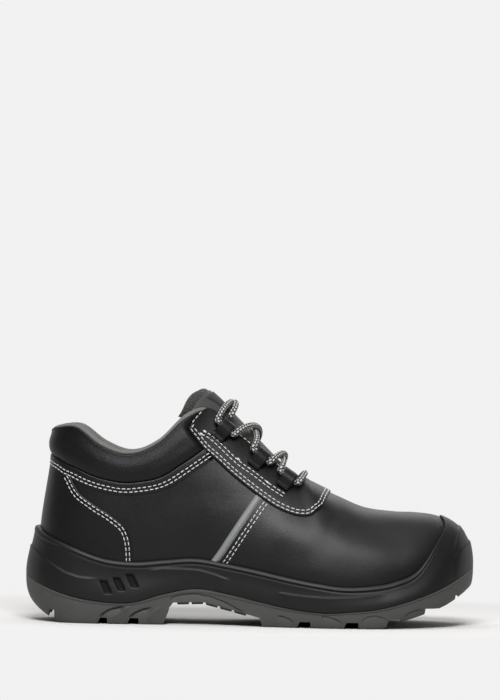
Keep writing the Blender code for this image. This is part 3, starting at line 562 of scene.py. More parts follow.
finishes = {
    "quarter": {"colour": (0.004, 0.0038, 0.0039), "roughness": 0.4, "gloss": 0.28, "grain": 1.1,
                "grainBump": 0.25},
    "overlay": {"colour": (0.004, 0.0038, 0.004), "roughness": 0.4, "gloss": 0.22, "grain": 1.0,
                "grainBump": 0.3},
    # down in the slots the foam's gloss falls to a lower level, a painted shade
    "foam": {"colour": (0.0075, 0.0071, 0.0074), "roughness": 0.47, "gloss": 0.22, "slotShadeGloss": 0.06,
             "speck": 2600.0, "bump": 0.35},
    "rubber": {"colour": (0.042, 0.043, 0.04), "roughness": 0.66, "speck": 1900.0, "bump": 0.4},
    "lining": {"colour": (0.15, 0.154, 0.142), "roughness": 0.9, "sheen": 0.15, "pitch": 1.1,
               "hollow": 0.45, "relief": 0.3},
    "mesh": {"colour": (0.034, 0.034, 0.032), "roughness": 0.85, "sheen": 0.1, "pitch": 2.4,
             "hollow": 0.2, "relief": 0.8},
    "tongueCloth": {"colour": (0.03, 0.03, 0.029), "roughness": 0.62, "sheen": 0.05, "pitch": 0.7,
                    "hollow": 0.75, "relief": 0.08},
    "label": {"colour": (0.016, 0.013, 0.018), "roughness": 0.7, "pitch": 0.8, "hollow": 0.6, "relief": 0.1},
    "reflective": {"colour": (0.2, 0.205, 0.205), "roughness": 0.5, "pitch": 0.9, "hollow": 0.62,
                   "relief": 0.12},
    "thread": {"colour": (0.5, 0.5, 0.49), "roughness": 0.7},
    # a dark matte cord, painted shadow along the collar seam
    "shadowLineCord": {"colour": (0.008, 0.008, 0.008), "roughness": 0.7},
}
quarterLeather = leatherFinish("quarterLeather", finishes["quarter"])
overlayLeather = leatherFinish("overlayLeather", finishes["overlay"])
soleFoam = mouldedFinish("soleFoam", finishes["foam"])
treadRubber = mouldedFinish("treadRubber", finishes["rubber"])
liningKnit = knitFinish("liningKnit", finishes["lining"])
tongueMesh = knitFinish("tongueMesh", finishes["mesh"])
tongueCloth = knitFinish("tongueCloth", finishes["tongueCloth"])
labelWeave = knitFinish("labelWeave", finishes["label"])
reflectiveTape = knitFinish("reflectiveTape", finishes["reflective"])
seamThread = threadFinish("seamThread", finishes["thread"])
shadowLineCord = threadFinish("shadowLineCord", finishes["shadowLineCord"])
print("finishes made")


def soleColumns(step, fine=None):  # values of u round the sole, the same on both sides
    outer = list(np.arange(0, toeStation, step))
    if fine:
        start, end, fineStep = fine
        outer = [u for u in outer if not start <= u < end] + list(np.arange(start, end, fineStep))
    outer = sorted(outer)
    return np.array(outer + [toeStation] + [loopEnd - u for u in outer[:0:-1]], float)


def outlinePoint(u, inset, z):
    row = onLoop(soleLoop, u)
    point = np.stack([row[..., 0], row[..., 1], np.zeros(np.shape(u))], -1)
    point = point - headingAt(u) * np.asarray(inset, float)[..., None]
    point[..., 2] = z
    return point


def gridNormal(grid, u):  # outward, on rows of columns that close round the sole
    along = np.roll(grid, -1, axis=1) - np.roll(grid, 1, axis=1)
    normal = unit(np.cross(along, np.gradient(grid, axis=0)))
    return normal * np.sign((normal * headingAt(u)[None]).sum(-1, keepdims=True))


def ledge(points, line):  # proud below a moulded line, fading down and at both ends
    xs, zs = np.array(line["line"], float).T
    x, z = points[..., 0], points[..., 2]
    slope = np.interp(x, (xs[1:] + xs[:-1]) / 2, np.diff(zs) / np.diff(xs))
    away = (z - np.interp(x, xs, zs)) / np.sqrt(1 + slope ** 2)
    ends = softStep((x - xs[0]) / line["fade"][0]) * softStep((xs[-1] - x) / line["fade"][1])
    above = np.exp(-(np.maximum(away, 0) / line["edge"]) ** 2)
    below = np.exp(np.minimum(away, 0) / line["fall"])
    return line["height"] * ends * above * below


def slotDepth(points, slots):
    x, z = points[..., 0], points[..., 2]
    depth = 0
    for middleX, middleZ in slots["middles"]:
        b = (z - middleZ) / slots["rise"]
        a = (x - middleX - slots["lean"] * b) / slots["half"]
        inside = softStep((1 - np.abs(a)) * slots["half"] / slots["edge"])
        depth = depth + inside * softStep((1 - np.abs(b)) * slots["rise"] / slots["edge"])
    return slots["depth"] * np.minimum(depth, 1)


midsoleShape = {
    "columns": 0.05, "slotColumns": (3, 5, 0.02),  # steps of u, finer between two stations at the slots
    "sideRows": 52, "evenRows": 0.6, "gap": 0.4, "inside": 0.12, "look": 0.02, "fullness": 0.4,
    "lip": 3.0, "heelLip": 4.6, "capLip": 1.1, "heelDrop": 2.4, "heelEnd": 2, "capStart": 13, "capFull": 16,
    "lipRows": (0.2, 0.4, 0.6, 0.8, 1.0), "lipCrown": 1.0, "crownTurn": 0.75, "capFlat": 0.75,
    "cupRows": (0.9, 0.6, 0.3, 0.0),
    "bead": {"from": 1.0, "half": 0.65, "height": 0.68, "groove": 2.4, "grooveHalf": 0.6, "grooveDepth": 0.35,
             "onCap": 0.15, "atHeel": 0.2},  # share of its height on the toe cap and behind the heel
    "ledges": [  # x, z along each moulded line
        {"line": [(-154, 53.5), (-148.8, 50.5), (-133.8, 39.2), (-125, 34), (-114.8, 30.7), (-106.7, 30.2),
                  (-100, 31)], "height": 0.7, "edge": 0.4, "fall": 7, "fade": (1, 14)},
        {"line": [(-72, 35.6), (-57.7, 37.4), (-44.8, 37.3), (-34.6, 36.8), (-24.5, 34.2), (-12, 30)],
         "height": 0.9, "edge": 0.5, "fall": 5, "fade": (16, 10)},
        {"line": [(17, 23.4), (31, 21.4), (42.8, 20.4), (53, 19.9), (71.3, 20.5), (92, 23.5)],
         "height": 0.9, "edge": 0.5, "fall": 4, "fade": (10, 12)},
        {"line": [(136, 45.5), (142, 51.6), (149.8, 58.2), (156, 63)], "height": 0.9, "edge": 0.4, "fall": 6,
         "fade": (7, 1)},
        {"line": [(137, 52), (140, 60), (143.3, 70.3), (147, 77)], "height": 0.8, "edge": 0.4, "fall": 6,
         "fade": (3, 1)},
    ],
    "slots": {"middles": [(-96.6, 24.8), (-87.6, 26.8), (-78.8, 29.2)], "half": 2.9, "rise": 4.8,
              "lean": -2.3, "edge": 1.3, "depth": 1.8},
}


def beadHeight(fromEdge, bead, cap, heel):  # a bead along the rim of the cup, and a groove under it
    height = bead["height"] * np.exp(-((fromEdge - bead["from"]) / bead["half"]) ** 2)
    height -= bead["grooveDepth"] * np.exp(-((fromEdge - bead["groove"]) / bead["grooveHalf"]) ** 2)
    return height * (1 - (1 - bead["onCap"]) * cap) * (1 - (1 - bead["atHeel"]) * heel)


def makeMidsole(shape):
    u = soleColumns(shape["columns"], shape["slotColumns"])
    top, station = cupEdge(u), stationOf(u)
    cap = softStep((station - shape["capStart"]) / (shape["capFull"] - shape["capStart"]))
    heel = softStep(1 - station / shape["heelEnd"])
    lip = shape["lip"] + (shape["heelLip"] - shape["lip"]) * heel + (shape["capLip"] - shape["lip"]) * cap
    border = outlinePoint(u, 0 * u, onLoop(soleLoop, u)[:, 2] + soleShape["seam"])
    edge = skin(u, top, shape["gap"] + lip)
    edge[:, 2] -= shape["heelDrop"] * heel
    rim = shoePoint(u, top)
    down = unit(shoePoint(u, np.maximum(top - shape["look"], 0)) - rim)
    lean = unit(shoePoint(u, np.minimum(top + shape["look"], 1)) - rim)
    span = np.linalg.norm(edge - border, axis=-1)
    reach = shape["fullness"] * span[:, None]
    low, high = border + reach * np.array((0, 0, 1.0)), edge + down * reach
    even = np.linspace(0, 1, shape["sideRows"])
    f = softStep(even) * (1 - shape["evenRows"]) + even * shape["evenRows"]
    side = np.stack([bezier(border, low, high, edge, np.full(len(u), k)) for k in f])
    relief = beadHeight((1 - f)[:, None] * span[None], shape["bead"], cap, heel)
    relief += sum(ledge(side, line) for line in shape["ledges"])
    slots = slotDepth(side, shape["slots"])
    relief -= slots
    relief[0] = 0
    rows = list(side + gridNormal(side, u) * relief[..., None])
    crown = lean * shape["lipCrown"] * ((1 - shape["capFlat"] * cap) * (1 - heel))[:, None]
    for turn in shape["lipRows"]:  # over the rounded lip on to the leather
        off = shape["inside"] + (shape["gap"] + lip - shape["inside"]) * math.cos(turn * math.pi / 2)
        lifted = skin(u, top, off) + crown * math.sin(math.pi * turn * shape["crownTurn"])
        lifted[:, 2] -= shape["heelDrop"] * heel * (1 - turn) ** 2
        rows.append(lifted)
    rows += [skin(u, top * share, shape["inside"]) for share in shape["cupRows"]]  # and down inside the cup
    floor = rows[-1].copy()
    floor[:, 2] = onLoop(wallLoop, u)[:, 2] - shape["gap"]
    rows.append(floor)
    flow = np.zeros((len(rows), len(u), 2))
    flow[:len(side), :, 0] = slots / shape["slots"]["depth"]  # how far down in a slot, for the painted shade that dulls the gloss there
    faces = ringFaces(len(rows), len(u))
    addPiece("midsole_cup", np.array(rows), faces, soleFoam, "black_foam", ["midsole"], flow)


outsoleShape = {
    "columns": 0.03, "topRows": (0, 0.02, 0.05), "sideRows": (0.09, 0.9, 40), "lowRows": (0.95, 0.98, 1.0),
    "roll": (2.6, 0.55),  # how the side turns in to the tread
    # a thin flange under the midsole: how far out, the stations where it fades, and its place on the side
    "flange": {"out": 0.7, "heel": 2.5, "toe": 14.5, "end": 0.12, "fall": 0.06, "rise": 0.02},
    "below": -2.0, "width": 70, "slope": 2.0, "undercut": 0.4, "depth": 4.2, "sharp": 32,
    "grooves": [(-136.5, -131, 8.5), (-102, -95, 4.2), (-82, -74, 4.2), (31.7, 41, 4.2), (62.8, 73, 4.2),
                (91, 102, 6.4), (116, 128, 13.6), (137, 141.5, 22)],  # back, front, top
    "arch": [(-58, 0), (-56, 4.5), (-54.5, 10.8), (-51, 15), (-31, 15.7), (-9, 10.3), (7, 6), (8.8, 0)],
    "centre": [(-124, -58), (8.8, 128)], "centreWidth": 7,
    # moulded lines on the side, x and z: the rubber below is scooped out, or proud if the height is over 0
    "lines": [
        {"line": [(-128, 6.2), (-125.5, 8.4), (-121.9, 10.7), (-118.3, 13), (-115, 15)], "height": 1.2},
        {"line": [(-101, 3.6), (-99.6, 5.4), (-95.9, 8.6), (-91.8, 10.4), (-87.1, 11.4), (-83, 11.8)],
         "height": -2.0},
        {"line": [(-93, 3.6), (-90.7, 5.1), (-86.1, 8.2), (-81.4, 11.3), (-79, 12.8)], "height": 1.2},
        {"line": [(-81, 3.6), (-79.8, 5.2), (-76.2, 8), (-71, 10.4), (-65, 11.6)], "height": -2.0},
        {"line": [(-69, 3.4), (-66.3, 5.9), (-61.4, 10.6), (-59.4, 12.6)], "height": 1.2},
        {"line": [(18, 7.6), (22, 7.4), (26, 6), (31, 3)], "height": -1.0},
        {"line": [(47, 8), (52, 7.8), (58, 6), (63, 3)], "height": -1.0},
        {"line": [(74, 5), (79, 8), (84, 8.8), (90, 7.4), (93, 5)], "height": -0.8},
        {"line": [(103, 8), (107, 11), (113, 13), (118, 12.4)], "height": -0.9},
        {"line": [(-54, 16.6), (-52.3, 18), (-46, 20.6), (-36.7, 21.2), (-26.3, 19.4), (-15.9, 15.6),
                  (-7.5, 11.2), (-3, 9)], "height": -1.0},
    ],
    "lineLook": {"edge": 0.35, "fall": 3.4, "fade": (2.5, 4)}, "lineFade": (0.15, 0.1),
}


def prismShape(outline, axis, low, high):
    outline = np.array(outline, float)
    ends = []
    for end in (low, high):
        flat = np.full(len(outline), float(end))
        along, up = outline.T
        ends.append(np.stack([along, flat, up] if axis == "y" else [flat, along, up], -1))
    count = len(outline)
    faces = [list(range(count)), list(range(2 * count - 1, count - 1, -1))]
    faces += [[k, (k + 1) % count, count + (k + 1) % count, count + k] for k in range(count)]
    return np.vstack(ends), faces


def grooveOutline(low, high, top, shape):
    slope, below = shape["slope"], shape["below"]
    foot = [(low, below), (high, below), (high, 0)]
    return foot + [(high - shape["undercut"], top), (low + slope, top), (low, 0)]


def carve(piece, shapes):  # take closed shapes away from a piece, all in one go
    hollows = bpy.data.collections.new("hollows")
    for k, (points, faces) in enumerate(shapes):
        mesh = bpy.data.meshes.new(f"hollow{k}")
        mesh.from_pydata((points * mm).tolist(), [], faces)
        facesOut(mesh)
        hollow = bpy.data.objects.new(f"hollow{k}", mesh)
        hollows.objects.link(hollow)
        cutting = piece.modifiers.new("cut", "BOOLEAN")
        cutting.operation = "DIFFERENCE"
        cutting.solver = "MANIFOLD"
        cutting.object = hollow
    bpy.context.scene.collection.children.link(hollows)
    shaped = bpy.data.meshes.new_from_object(piece.evaluated_get(bpy.context.evaluated_depsgraph_get()))
    piece.modifiers.clear()
    piece.data = shaped
    for hollow in list(hollows.objects):
        bpy.data.objects.remove(hollow, do_unlink=True)
    bpy.data.collections.remove(hollows)


def flangeOut(flange, u, share):
    heelEnd = softStep(stationOf(u) / flange["heel"])
    toeEnd = softStep((toeStation - stationOf(u)) / (toeStation - flange["toe"]))
    height = softStep((flange["end"] - share) / flange["fall"]) * softStep(share / flange["rise"])
    return flange["out"] * heelEnd * toeEnd * height


def treadHollows(shape):  # grooves across, the arch and two grooves along the middle
    width, half, below = shape["width"], shape["centreWidth"] / 2, shape["below"]
    outlines = [grooveOutline(*groove, shape) for groove in shape["grooves"]]
    outlines.append([(shape["arch"][0][0], below), *shape["arch"], (shape["arch"][-1][0], below)])
    middle = grooveOutline(-half, half, shape["depth"], shape)
    hollows = [prismShape(outline, "y", -width, width) for outline in outlines]
    return hollows + [prismShape(middle, "x", *run) for run in shape["centre"]]


def makeOutsole(shape):
    u = soleColumns(shape["columns"])
    row = onLoop(soleLoop, u)
    border, tread = row[:, 2] - soleShape["seam"], np.maximum(row[:, 5], 0)
    f = np.concatenate([shape["topRows"], np.linspace(*shape["sideRows"]), shape["lowRows"]])
    power, root = shape["roll"]
    side = []
    for k in f:
        inset = row[:, 4] * (1 - (1 - k ** power) ** root) - flangeOut(shape["flange"], u, k)
        side.append(outlinePoint(u, inset, border + (tread - border) * k))
    side = np.array(side)
    fade = softStep(f / shape["lineFade"][0]) * softStep((1 - f) / shape["lineFade"][1])
    relief = sum(ledge(side, {**line, **shape["lineLook"]}) for line in shape["lines"])
    side = side + gridNormal(side, u) * (relief * fade[:, None])[..., None]
    faces = ringFaces(len(side), len(u))
    outsole = addPiece("tread_sole", side, faces, treadRubber, "grey_rubber", ["outsole"])
    carve(outsole, treadHollows(shape))
    outsole.data.set_sharp_from_angle(angle=math.radians(shape["sharp"]))


archShape = {
    "first": -48.5, "last": -6, "pitch": 9.6, "gap": 1.7, "drop": 1.6, "inset": 4.5, "bevel": 0.45,
    "sunk": 0.25, "sharp": 30,
}


def makeArchRibs(shape):  # flat teeth across the arch
    archX, archZ = np.array(outsoleShape["arch"], float).T
    rows = np.array(soleShape["rows"], float)
    bevel, drop, sunk = shape["bevel"], shape["drop"], shape["sunk"]
    shapes = []
    x = shape["first"]
    while x < shape["last"]:
        end = x + shape["pitch"] - shape["gap"]
        corners = [(x, -sunk), (x, drop - bevel), (x + bevel, drop),
                   (end - bevel, drop), (end, drop - bevel), (end, -sunk)]
        outline = [(place, np.interp(place, archX, archZ) - down) for place, down in corners]
        reach = [np.interp((x + end) / 2, rows[:, 0], rows[:, k]) - shape["inset"] for k in (1, 2)]
        shapes.append(prismShape(outline, "y", -reach[0], reach[1]))
        x += shape["pitch"]
    ribs = addPiece("arch_ribs", *joinShapes(shapes), treadRubber, "grey_rubber")
    ribs.data.set_sharp_from_angle(angle=math.radians(shape["sharp"]))


insoleShape = {
    "columns": 0.1, "thick": 4.0, "wall": 0.35, "inset": 3.0, "edge": 2.4, "dish": 1.2,
    "edgeRows": (0.0, 0.35, 0.7, 1.0), "topRows": (0.15, 0.35, 0.6, 0.85, 0.97),
}


def makeInsole(shape):
    u = soleColumns(shape["columns"])
    rim = shoePoint(u, 0.0) - headingAt(u) * shape["inset"]
    middle = rim.copy()
    middle[:, 1] = onLoop(wallLoop, u)[:, 12]  # the ridge line
    rows = [rim]
    for share in shape["edgeRows"]:
        turn = share * math.pi / 2
        ring = rim - headingAt(u) * shape["edge"] * (1 - math.cos(turn))
        ring[:, 2] += shape["thick"] * (shape["wall"] + (1 - shape["wall"]) * math.sin(turn))
        rows.append(ring)
    edge = rows[-1]
    for share in shape["topRows"]:
        ring = edge + (middle - edge) * share
        ring[:, 2] = edge[:, 2] - shape["dish"] * softStep(share)
        rows.append(ring)
    rows = np.array(rows)
    faces = ringFaces(len(rows), len(u))
    addPiece("footbed", rows, faces, liningKnit, "grey_textile", ["insole"], rows[..., :2])


makeMidsole(midsoleShape)
makeOutsole(outsoleShape)
makeArchRibs(archShape)
makeInsole(insoleShape)
print("sole made")


upperShape = {
    "columns": 0.05, "leather": 1.1, "lowRows": 4, "highRows": 46, "innerRows": 8, "underCup": 0.04,
    "lowest": 0.02, "fade": (0.05, 0.2),
    "vampStep": 0.35, "stepEdge": 0.8,  # the vamp lies over the quarters from the piping on
    "creaseEnd": 0.35, "creaseFlank": (0.35, 1.6, 0.8),  # how creases fade, and the rise beside them
    # soft troughs, or ridges if the depth is below 0, as seen from the side: start, end, half width, depth
    "creases": [
        ((49, 84), (60, 68), 8.0, 0.4), ((8, 68), (54, 58), 11.0, -0.8), ((50, 58), (104, 48), 10.0, -0.55),
        ((70, 76), (112, 62), 9.0, 0.3), ((-60, 92), (-34, 80), 9.0, 0.35), ((-72, 78), (-36, 64), 9.0, 0.25),
        ((-30, 96), (-12, 78), 8.0, 0.25),
    ],
}
pipingShape = {
    "middle": [(6.2, 87.6), (-9.6, 64.2), (-24.4, 41.8)], "width": 4.9, "height": 2.0, "base": 0.3,
    "under": 1.4, "rows": 60, "across": 14, "roundness": 0.75, "back": 0.05,
}


def creaseDepth(points):
    rise, place, wide = upperShape["creaseFlank"]
    spot = points[..., (0, 2)]
    depth = 0
    for start, end, half, deep in upperShape["creases"]:
        start, end = np.array(start, float), np.array(end, float)
        run = end - start
        t = np.clip(((spot - start) @ run) / (run @ run), 0, 1)
        away = np.linalg.norm(spot - start - t[..., None] * run, axis=-1) / half
        ends = softStep(t / upperShape["creaseEnd"]) * softStep((1 - t) / upperShape["creaseEnd"])
        depth = depth + deep * ends * (np.exp(-away ** 2) - rise * np.exp(-((away - place) / wide) ** 2))
    return depth


def aheadOfPiping(points):  # millimetres in front of the piping, seen from the side
    start, end = (np.array(pipingShape["middle"][k], float) for k in (0, -1))
    run = unit(end - start)
    spot = points[..., (0, 2)] - start
    return -spot[..., 0] * run[1] + spot[..., 1] * run[0]


def leatherOff(points):
    step = softStep(aheadOfPiping(points) + upperShape["stepEdge"])
    return upperShape["vampStep"] * step - creaseDepth(points)


def makeUpper(shape):
    u = soleColumns(shape["columns"])
    start = np.maximum(cupEdge(u) - shape["underCup"], shape["lowest"])
    low = [start * k / shape["lowRows"] for k in range(shape["lowRows"])]
    high = [start + (1 - start) * k for k in np.linspace(0, 1, shape["highRows"])]
    v = np.array(low + high)
    fadeFrom, fadeOver = shape["fade"]
    off = leatherOff(shoePoint(u[None], v)) * softStep((v - fadeFrom) / fadeOver)
    outer = skin(np.broadcast_to(u, v.shape), v, off)
    inV = np.linspace(1, 0, shape["innerRows"])[:, None] * np.ones(len(u))
    inner = skin(np.broadcast_to(u, inV.shape), inV, -shape["leather"])
    rows, count = len(outer) + len(inner), len(u)
    quads = gridQuads(rows, count, closeRows=True, closeCols=True)
    joined = stationOf(u) >= lastShape["throatEnd"]  # no rim where both sides meet on the vamp
    first, second = quads[:, 0], quads[:, 1]
    strip = (first // count == len(outer) - 1) & joined[first % count] & joined[second % count]
    addPiece("upper_leather", np.concatenate([outer, inner]), quads[~strip], quarterLeather,
             "black_leather", ["upper"])


liningShape = {
    "end": 10.9, "columns": 420, "rollRows": 14, "innerRows": 26, "hidden": 1.15, "over": 0.1,
    "normalAt": 0.995, "upFrom": 0.97, "roundness": 0.8, "foot": 0.06, "padFrom": 0.5, "padOver": 0.3,
    "hiddenRows": (1.0, 0.75, 0.5, 0.25),
    # station and height of the textile that shows outside, under the topline
    "roll": [(0, 2.2), (1, 2.4), (2, 2.9), (2.6, 3.8), (3.2, 3.8), (4, 2.7), (5, 2.8), (6, 3.2), (6.6, 3.2),
             (7.1, 2.2), (7.6, 0.9), (8.2, 0.3), (11, 0.3)],
    "outside": [(0, 2.1), (6.2, 2.1), (6.8, 0.9), (7.4, 0.3), (11, 0.2)],  # station, how far it stands off
    "pad": [(0, 3.2), (5, 3.0), (6.5, 2.0), (7.6, 0.5), (11, 0.3)],        # padding inside
}


def byStation(table, u):
    return np.interp(stationOf(u), *np.array(table, float).T)


def rimSpan(u, step=0.02):  # millimetres per v at the topline
    return np.linalg.norm(shoePoint(u, 1.0) - shoePoint(u, 1 - step), axis=-1) / step


def rollV(u):  # where the textile roll meets the collar leather
    return 1 - byStation(liningShape["roll"], u) / rimSpan(u)


def makeLining(shape):
    u = np.linspace(-shape["end"], shape["end"], shape["columns"])
    height, outside, pad = (byStation(shape[key], u) for key in ("roll", "outside", "pad"))
    inside = lastShape["wall"] + pad
    rim, normal = shoePoint(u, 1.0), shoeNormal(u, shape["normalAt"])
    up = unit(rim - shoePoint(u, shape["upFrom"]))
    ring = []
    for angle in np.linspace(0, math.pi, shape["rollRows"]):
        off = (outside - inside) / 2 + (outside + inside) / 2 * math.cos(angle)
        lift = -height + (height + shape["over"]) * math.sin(angle) ** shape["roundness"]
        ring.append(rim + normal * off[:, None] + up * lift[:, None])
    startV, foot = rollV(u), shape["foot"]
    for share in np.linspace(0, 1, shape["innerRows"])[1:]:
        v = startV + (foot - startV) * share
        swell = pad * softStep((v - shape["padFrom"]) / shape["padOver"])
        ring.append(skin(u, v, -(lastShape["wall"] + swell)))
    for share in shape["hiddenRows"]:  # and up again in the wall
        v = foot + (startV - foot) * (1 - share)
        ring.append(skin(u, v, -shape["hidden"]))
    ring.append(rim + normal * -shape["hidden"] - up * height[:, None])
    ring = np.array(ring).transpose(1, 0, 2)
    flow = flowOf(lengthAlong(rim), np.array([lengthAlong(column) for column in ring]))
    addPiece("collar_lining", ring, tubeFaces(*ring.shape[:2]), liningKnit, "grey_textile", (), flow)


collarShape = {
    "rows": [  # seamX, seamZ, rimX
        (-136.2, 113.5, -134), (-131, 110.3, -130), (-123, 105.8, -122.5), (-113, 101.6, -112),
        (-101.5, 97.3, -100.5), (-90, 95, -89.5), (-77, 95.2, -77), (-63, 98, -62), (-53, 103.5, -51),
        (-45, 109, -43), (-37, 114.6, -36.5), (-33, 117.6, -33),
    ],
    "steps": 14, "across": 34, "base": 0.2, "swell": 3.5, "lowRound": 8.5, "highRound": 1.0, "highDip": 0.8,
    "thin": 0.34, "thinFrom": 0.5,  # share of the swell lost towards the topline
    "least": 0.1, "back": 0.03,
    # left edge of the eyestay, z and x: the padding stops there
    "stop": [(112, -30), (117, -32), (126, -39.8), (131, -43.4), (134, -42.4), (139, -38.6), (145, -33)],
    "stopRound": 6.0, "noStop": 20,
}


def roundHeel(outer, inner):
    outer, inner = np.array(outer), np.array(inner)
    outer[0, 0] = inner[0, 0] = 0
    return np.vstack([outer[:0:-1], (outer[:1] + inner[:1]) / 2, inner[1:]])


def overlayGrid(lows, highs, across, even=0.4):  # places between two edges, closer together near both
    b = (1 - np.cos(np.linspace(0, math.pi, across))) / 2 * (1 - even) + np.linspace(0, 1, across) * even
    grid = lows[:, None] + (highs - lows)[:, None] * b[None, :, None]
    grid[..., 1] = np.clip(grid[..., 1], 0, 1)
    base = shoePoint(grid[..., 0], grid[..., 1])
    width = np.linalg.norm(np.diff(base, axis=1), axis=-1).sum(1)
    return grid, base, b, width


def makeCollar(shape):
    rows = np.array(shape["rows"], float)
    lows = roundHeel(*(locate(side, rows[:, :2]) for side in (-1, 1)))
    highs = roundHeel(*(rimPlace(side, rows[:, 2]) for side in (-1, 1)))
    lows, highs = smoothRun(lows, shape["steps"]), smoothRun(highs, shape["steps"])
    highs[:, 1] = rollV(highs[:, 0])
    grid, base, b, width = overlayGrid(lows, highs, shape["across"])
    fromLow, fromHigh = b[None] * width[:, None], (1 - b)[None] * width[:, None]
    stopZ, stopX = np.array(shape["stop"], float).T
    clear = np.interp(base[..., 2], stopZ, stopX) - base[..., 0]
    clear = np.where(base[..., 2] < stopZ[0], shape["noStop"], clear)
    thin = shape["thin"] * softStep((b - shape["thinFrom"]) / (1 - shape["thinFrom"]))
    pillow = roundEdge(fromLow, shape["lowRound"]) * (1 - thin) * roundEdge(clear, shape["stopRound"])
    dip = shape["highDip"] * (1 - roundEdge(fromHigh, shape["highRound"]))
    off = np.maximum(shape["base"] + shape["swell"] * pillow - dip, shape["least"])
    front, back = onGrid(grid, off), onGrid(grid, shape["back"])
    collar = addSheet("collar_roll", front, back, overlayLeather, "black_leather", ["collar"])
    return lows


panelLook = {"rim": 0.12, "creased": 0.6}  # share of the thickness at the cut edge, share of the creases


def addPanel(name, lows, highs, shape, node):  # leather with a rounded edge all round
    grid, spots, b, width = overlayGrid(lows, highs, shape["across"])
    run = lengthAlong(spots[:, shape["across"] // 2])
    rim = np.minimum(np.minimum(b, 1 - b)[None] * width[:, None], np.minimum(run, run[-1] - run)[:, None])
    full = panelLook["rim"] + (1 - panelLook["rim"]) * roundEdge(rim, shape["edge"])
    off = shape["base"] + shape["thick"] * full - panelLook["creased"] * creaseDepth(spots)
    front, back = onGrid(grid, off), onGrid(grid, shape["base"])
    flow = flowOf(lengthAlong(spots[:, 0]), b[None] * width[:, None])
    addSheet(name, front, back, overlayLeather, "black_leather", [node], flow)


def mirrorEnd(places, steps):  # as smoothRun, meeting its own mirror image on the ridge
    ghost = [places[-2][0], 2 * places[-1][1] - places[-2][1]]
    run = smoothRun(np.vstack([places, ghost]), steps)
    return run[:-steps]


counterShape = {
    "rows": [  # lowX, highX, highZ
        (-79.3, -79.1, 41.6), (-80.2, -79.7, 51), (-81.8, -81.2, 58.5), (-86, -85.2, 66),
        (-95.4, -94.4, 73.2), (-106.6, -106, 80.4), (-116, -116, 88), (-123, -122.2, 98.5),
        (-130.5, -128, 106.3), (-137, -133, 109.6), (-143, -136.8, 111.6),
    ],
    "steps": 12, "across": 26, "base": 0.05, "thick": 1.1, "edge": 0.9, "underCup": 0.03,
    "firstZ": 50.0, "rounds": 6,  # first guess and rounds of the search for the cup's edge
}


def makeCounter(shape):
    rows = np.array(shape["rows"], float)[::-1]
    lows, highs = [], []
    for side in (-1, 1):
        place = locate(side, np.stack([rows[:, 0], np.full(len(rows), shape["firstZ"])], -1))
        for _ in range(shape["rounds"]):
            z = shoePoint(place[:, 0], cupEdge(place[:, 0]))[:, 2]
            place = locate(side, np.stack([rows[:, 0], z], -1))
        place[:, 1] = cupEdge(place[:, 0]) - shape["underCup"]
        lows.append(place)
        highs.append(locate(side, rows[:, 1:]))
    lows, highs = (smoothRun(roundHeel(*pair), shape["steps"]) for pair in (lows, highs))
    addPanel("heel_counter", lows, highs, shape, "counter")
    return highs


eyestayShape = {
    "rows": [  # outX, outZ, inX, inZ
        (-41.2, 135.4, -35.2, 142.4), (-43.2, 131.2, -31.6, 145.4), (-39.8, 126.2, -25.6, 146),
        (-31.6, 116.8, -16, 138), (-18.7, 105.6, -3, 127.5), (-6, 95, 7, 119.5), (5, 86.8, 16, 112),
        (17, 79, 24.5, 106.5), (28, 74.6, 31, 102.5), (36, 73.6, 34, 101.5), (43.6, 76.6, 36.4, 101),
        (49.6, 82.6, 38, 100),
    ],
    "ridge": 53.8, "steps": 14, "across": 34, "base": 0.55, "thick": 1.25, "edge": 1.0,
}


def makeEyestay(shape):
    rows = np.array(shape["rows"], float)
    lows, highs = {}, {}
    for side in (-1, 1):
        low = np.vstack([locate(side, rows[:, :2]), rimPlace(side, np.array([shape["ridge"]]))])
        high = np.vstack([locate(side, rows[:, 2:]), [(-side * lastShape["throatEnd"], 1.0)]])
        lows[side], highs[side] = mirrorEnd(low, shape["steps"]), smoothRun(high, shape["steps"])
    low = np.vstack([lows[-1], lows[1][-2::-1]])
    high = np.vstack([highs[-1], highs[1][-2::-1]])
    addPanel("eyestay_facing", low, high, shape, "eyestay")
    return lows, highs


def makePiping(shape, side, name, node):
    middle = np.array(shape["middle"], float)
    run = unit(middle[-1] - middle[0])
    across = np.array((-run[1], run[0])) * shape["width"] / 2
    lows = smoothRun(locate(side, middle - across), shape["rows"] // 2)
    highs = smoothRun(locate(side, middle + across), shape["rows"] // 2)
    grid, spots, b, width = overlayGrid(lows, highs, shape["across"])
    ridge = np.sin(math.pi * b)[None] ** shape["roundness"]
    fromTop = lengthAlong(spots[:, shape["across"] // 2])[:, None]
    shown = softStep((fromTop - shape["under"]) / shape["under"])  # its top end lies flat under the eyestay
    off = shape["base"] + shape["height"] * ridge * shown
    front, back = onGrid(grid, off), onGrid(grid, shape["back"])
    flow = flowOf(lengthAlong(spots[:, 0]), b[None] * width[:, None])
    addSheet(name, front, back, reflectiveTape, "reflective_grey", [node], flow)
    return highs


# a dark tube that paints the shadow line at the collar seam
shadowCordShape = {"radius": 0.5, "over": 0.15, "off": 2.35, "columns": 360, "sides": 8, "seamStop": 6.9}


def makeCollarShadowCord(shape):  # dark cord under the grey textile, all along the topline: painted shadow along the seam, not a binding
    u = np.linspace(-shape["seamStop"], shape["seamStop"], shape["columns"])
    v = rollV(u)
    off = np.minimum(byStation(liningShape["outside"], u) + shape["over"], shape["off"])
    spots, out = skin(u, v, off), shoeNormal(u, v)
    up = np.cross(out, unit(np.gradient(spots, axis=0)))
    turn = np.linspace(0, 2 * math.pi, shape["sides"], endpoint=False)
    ring = [spots + shape["radius"] * (out * math.cos(a) + up * math.sin(a)) for a in turn]
    ring = np.array(ring).transpose(1, 0, 2)
    addPiece("collar_shadow_cord", ring, tubeFaces(*ring.shape[:2]), shadowLineCord, "black_leather")


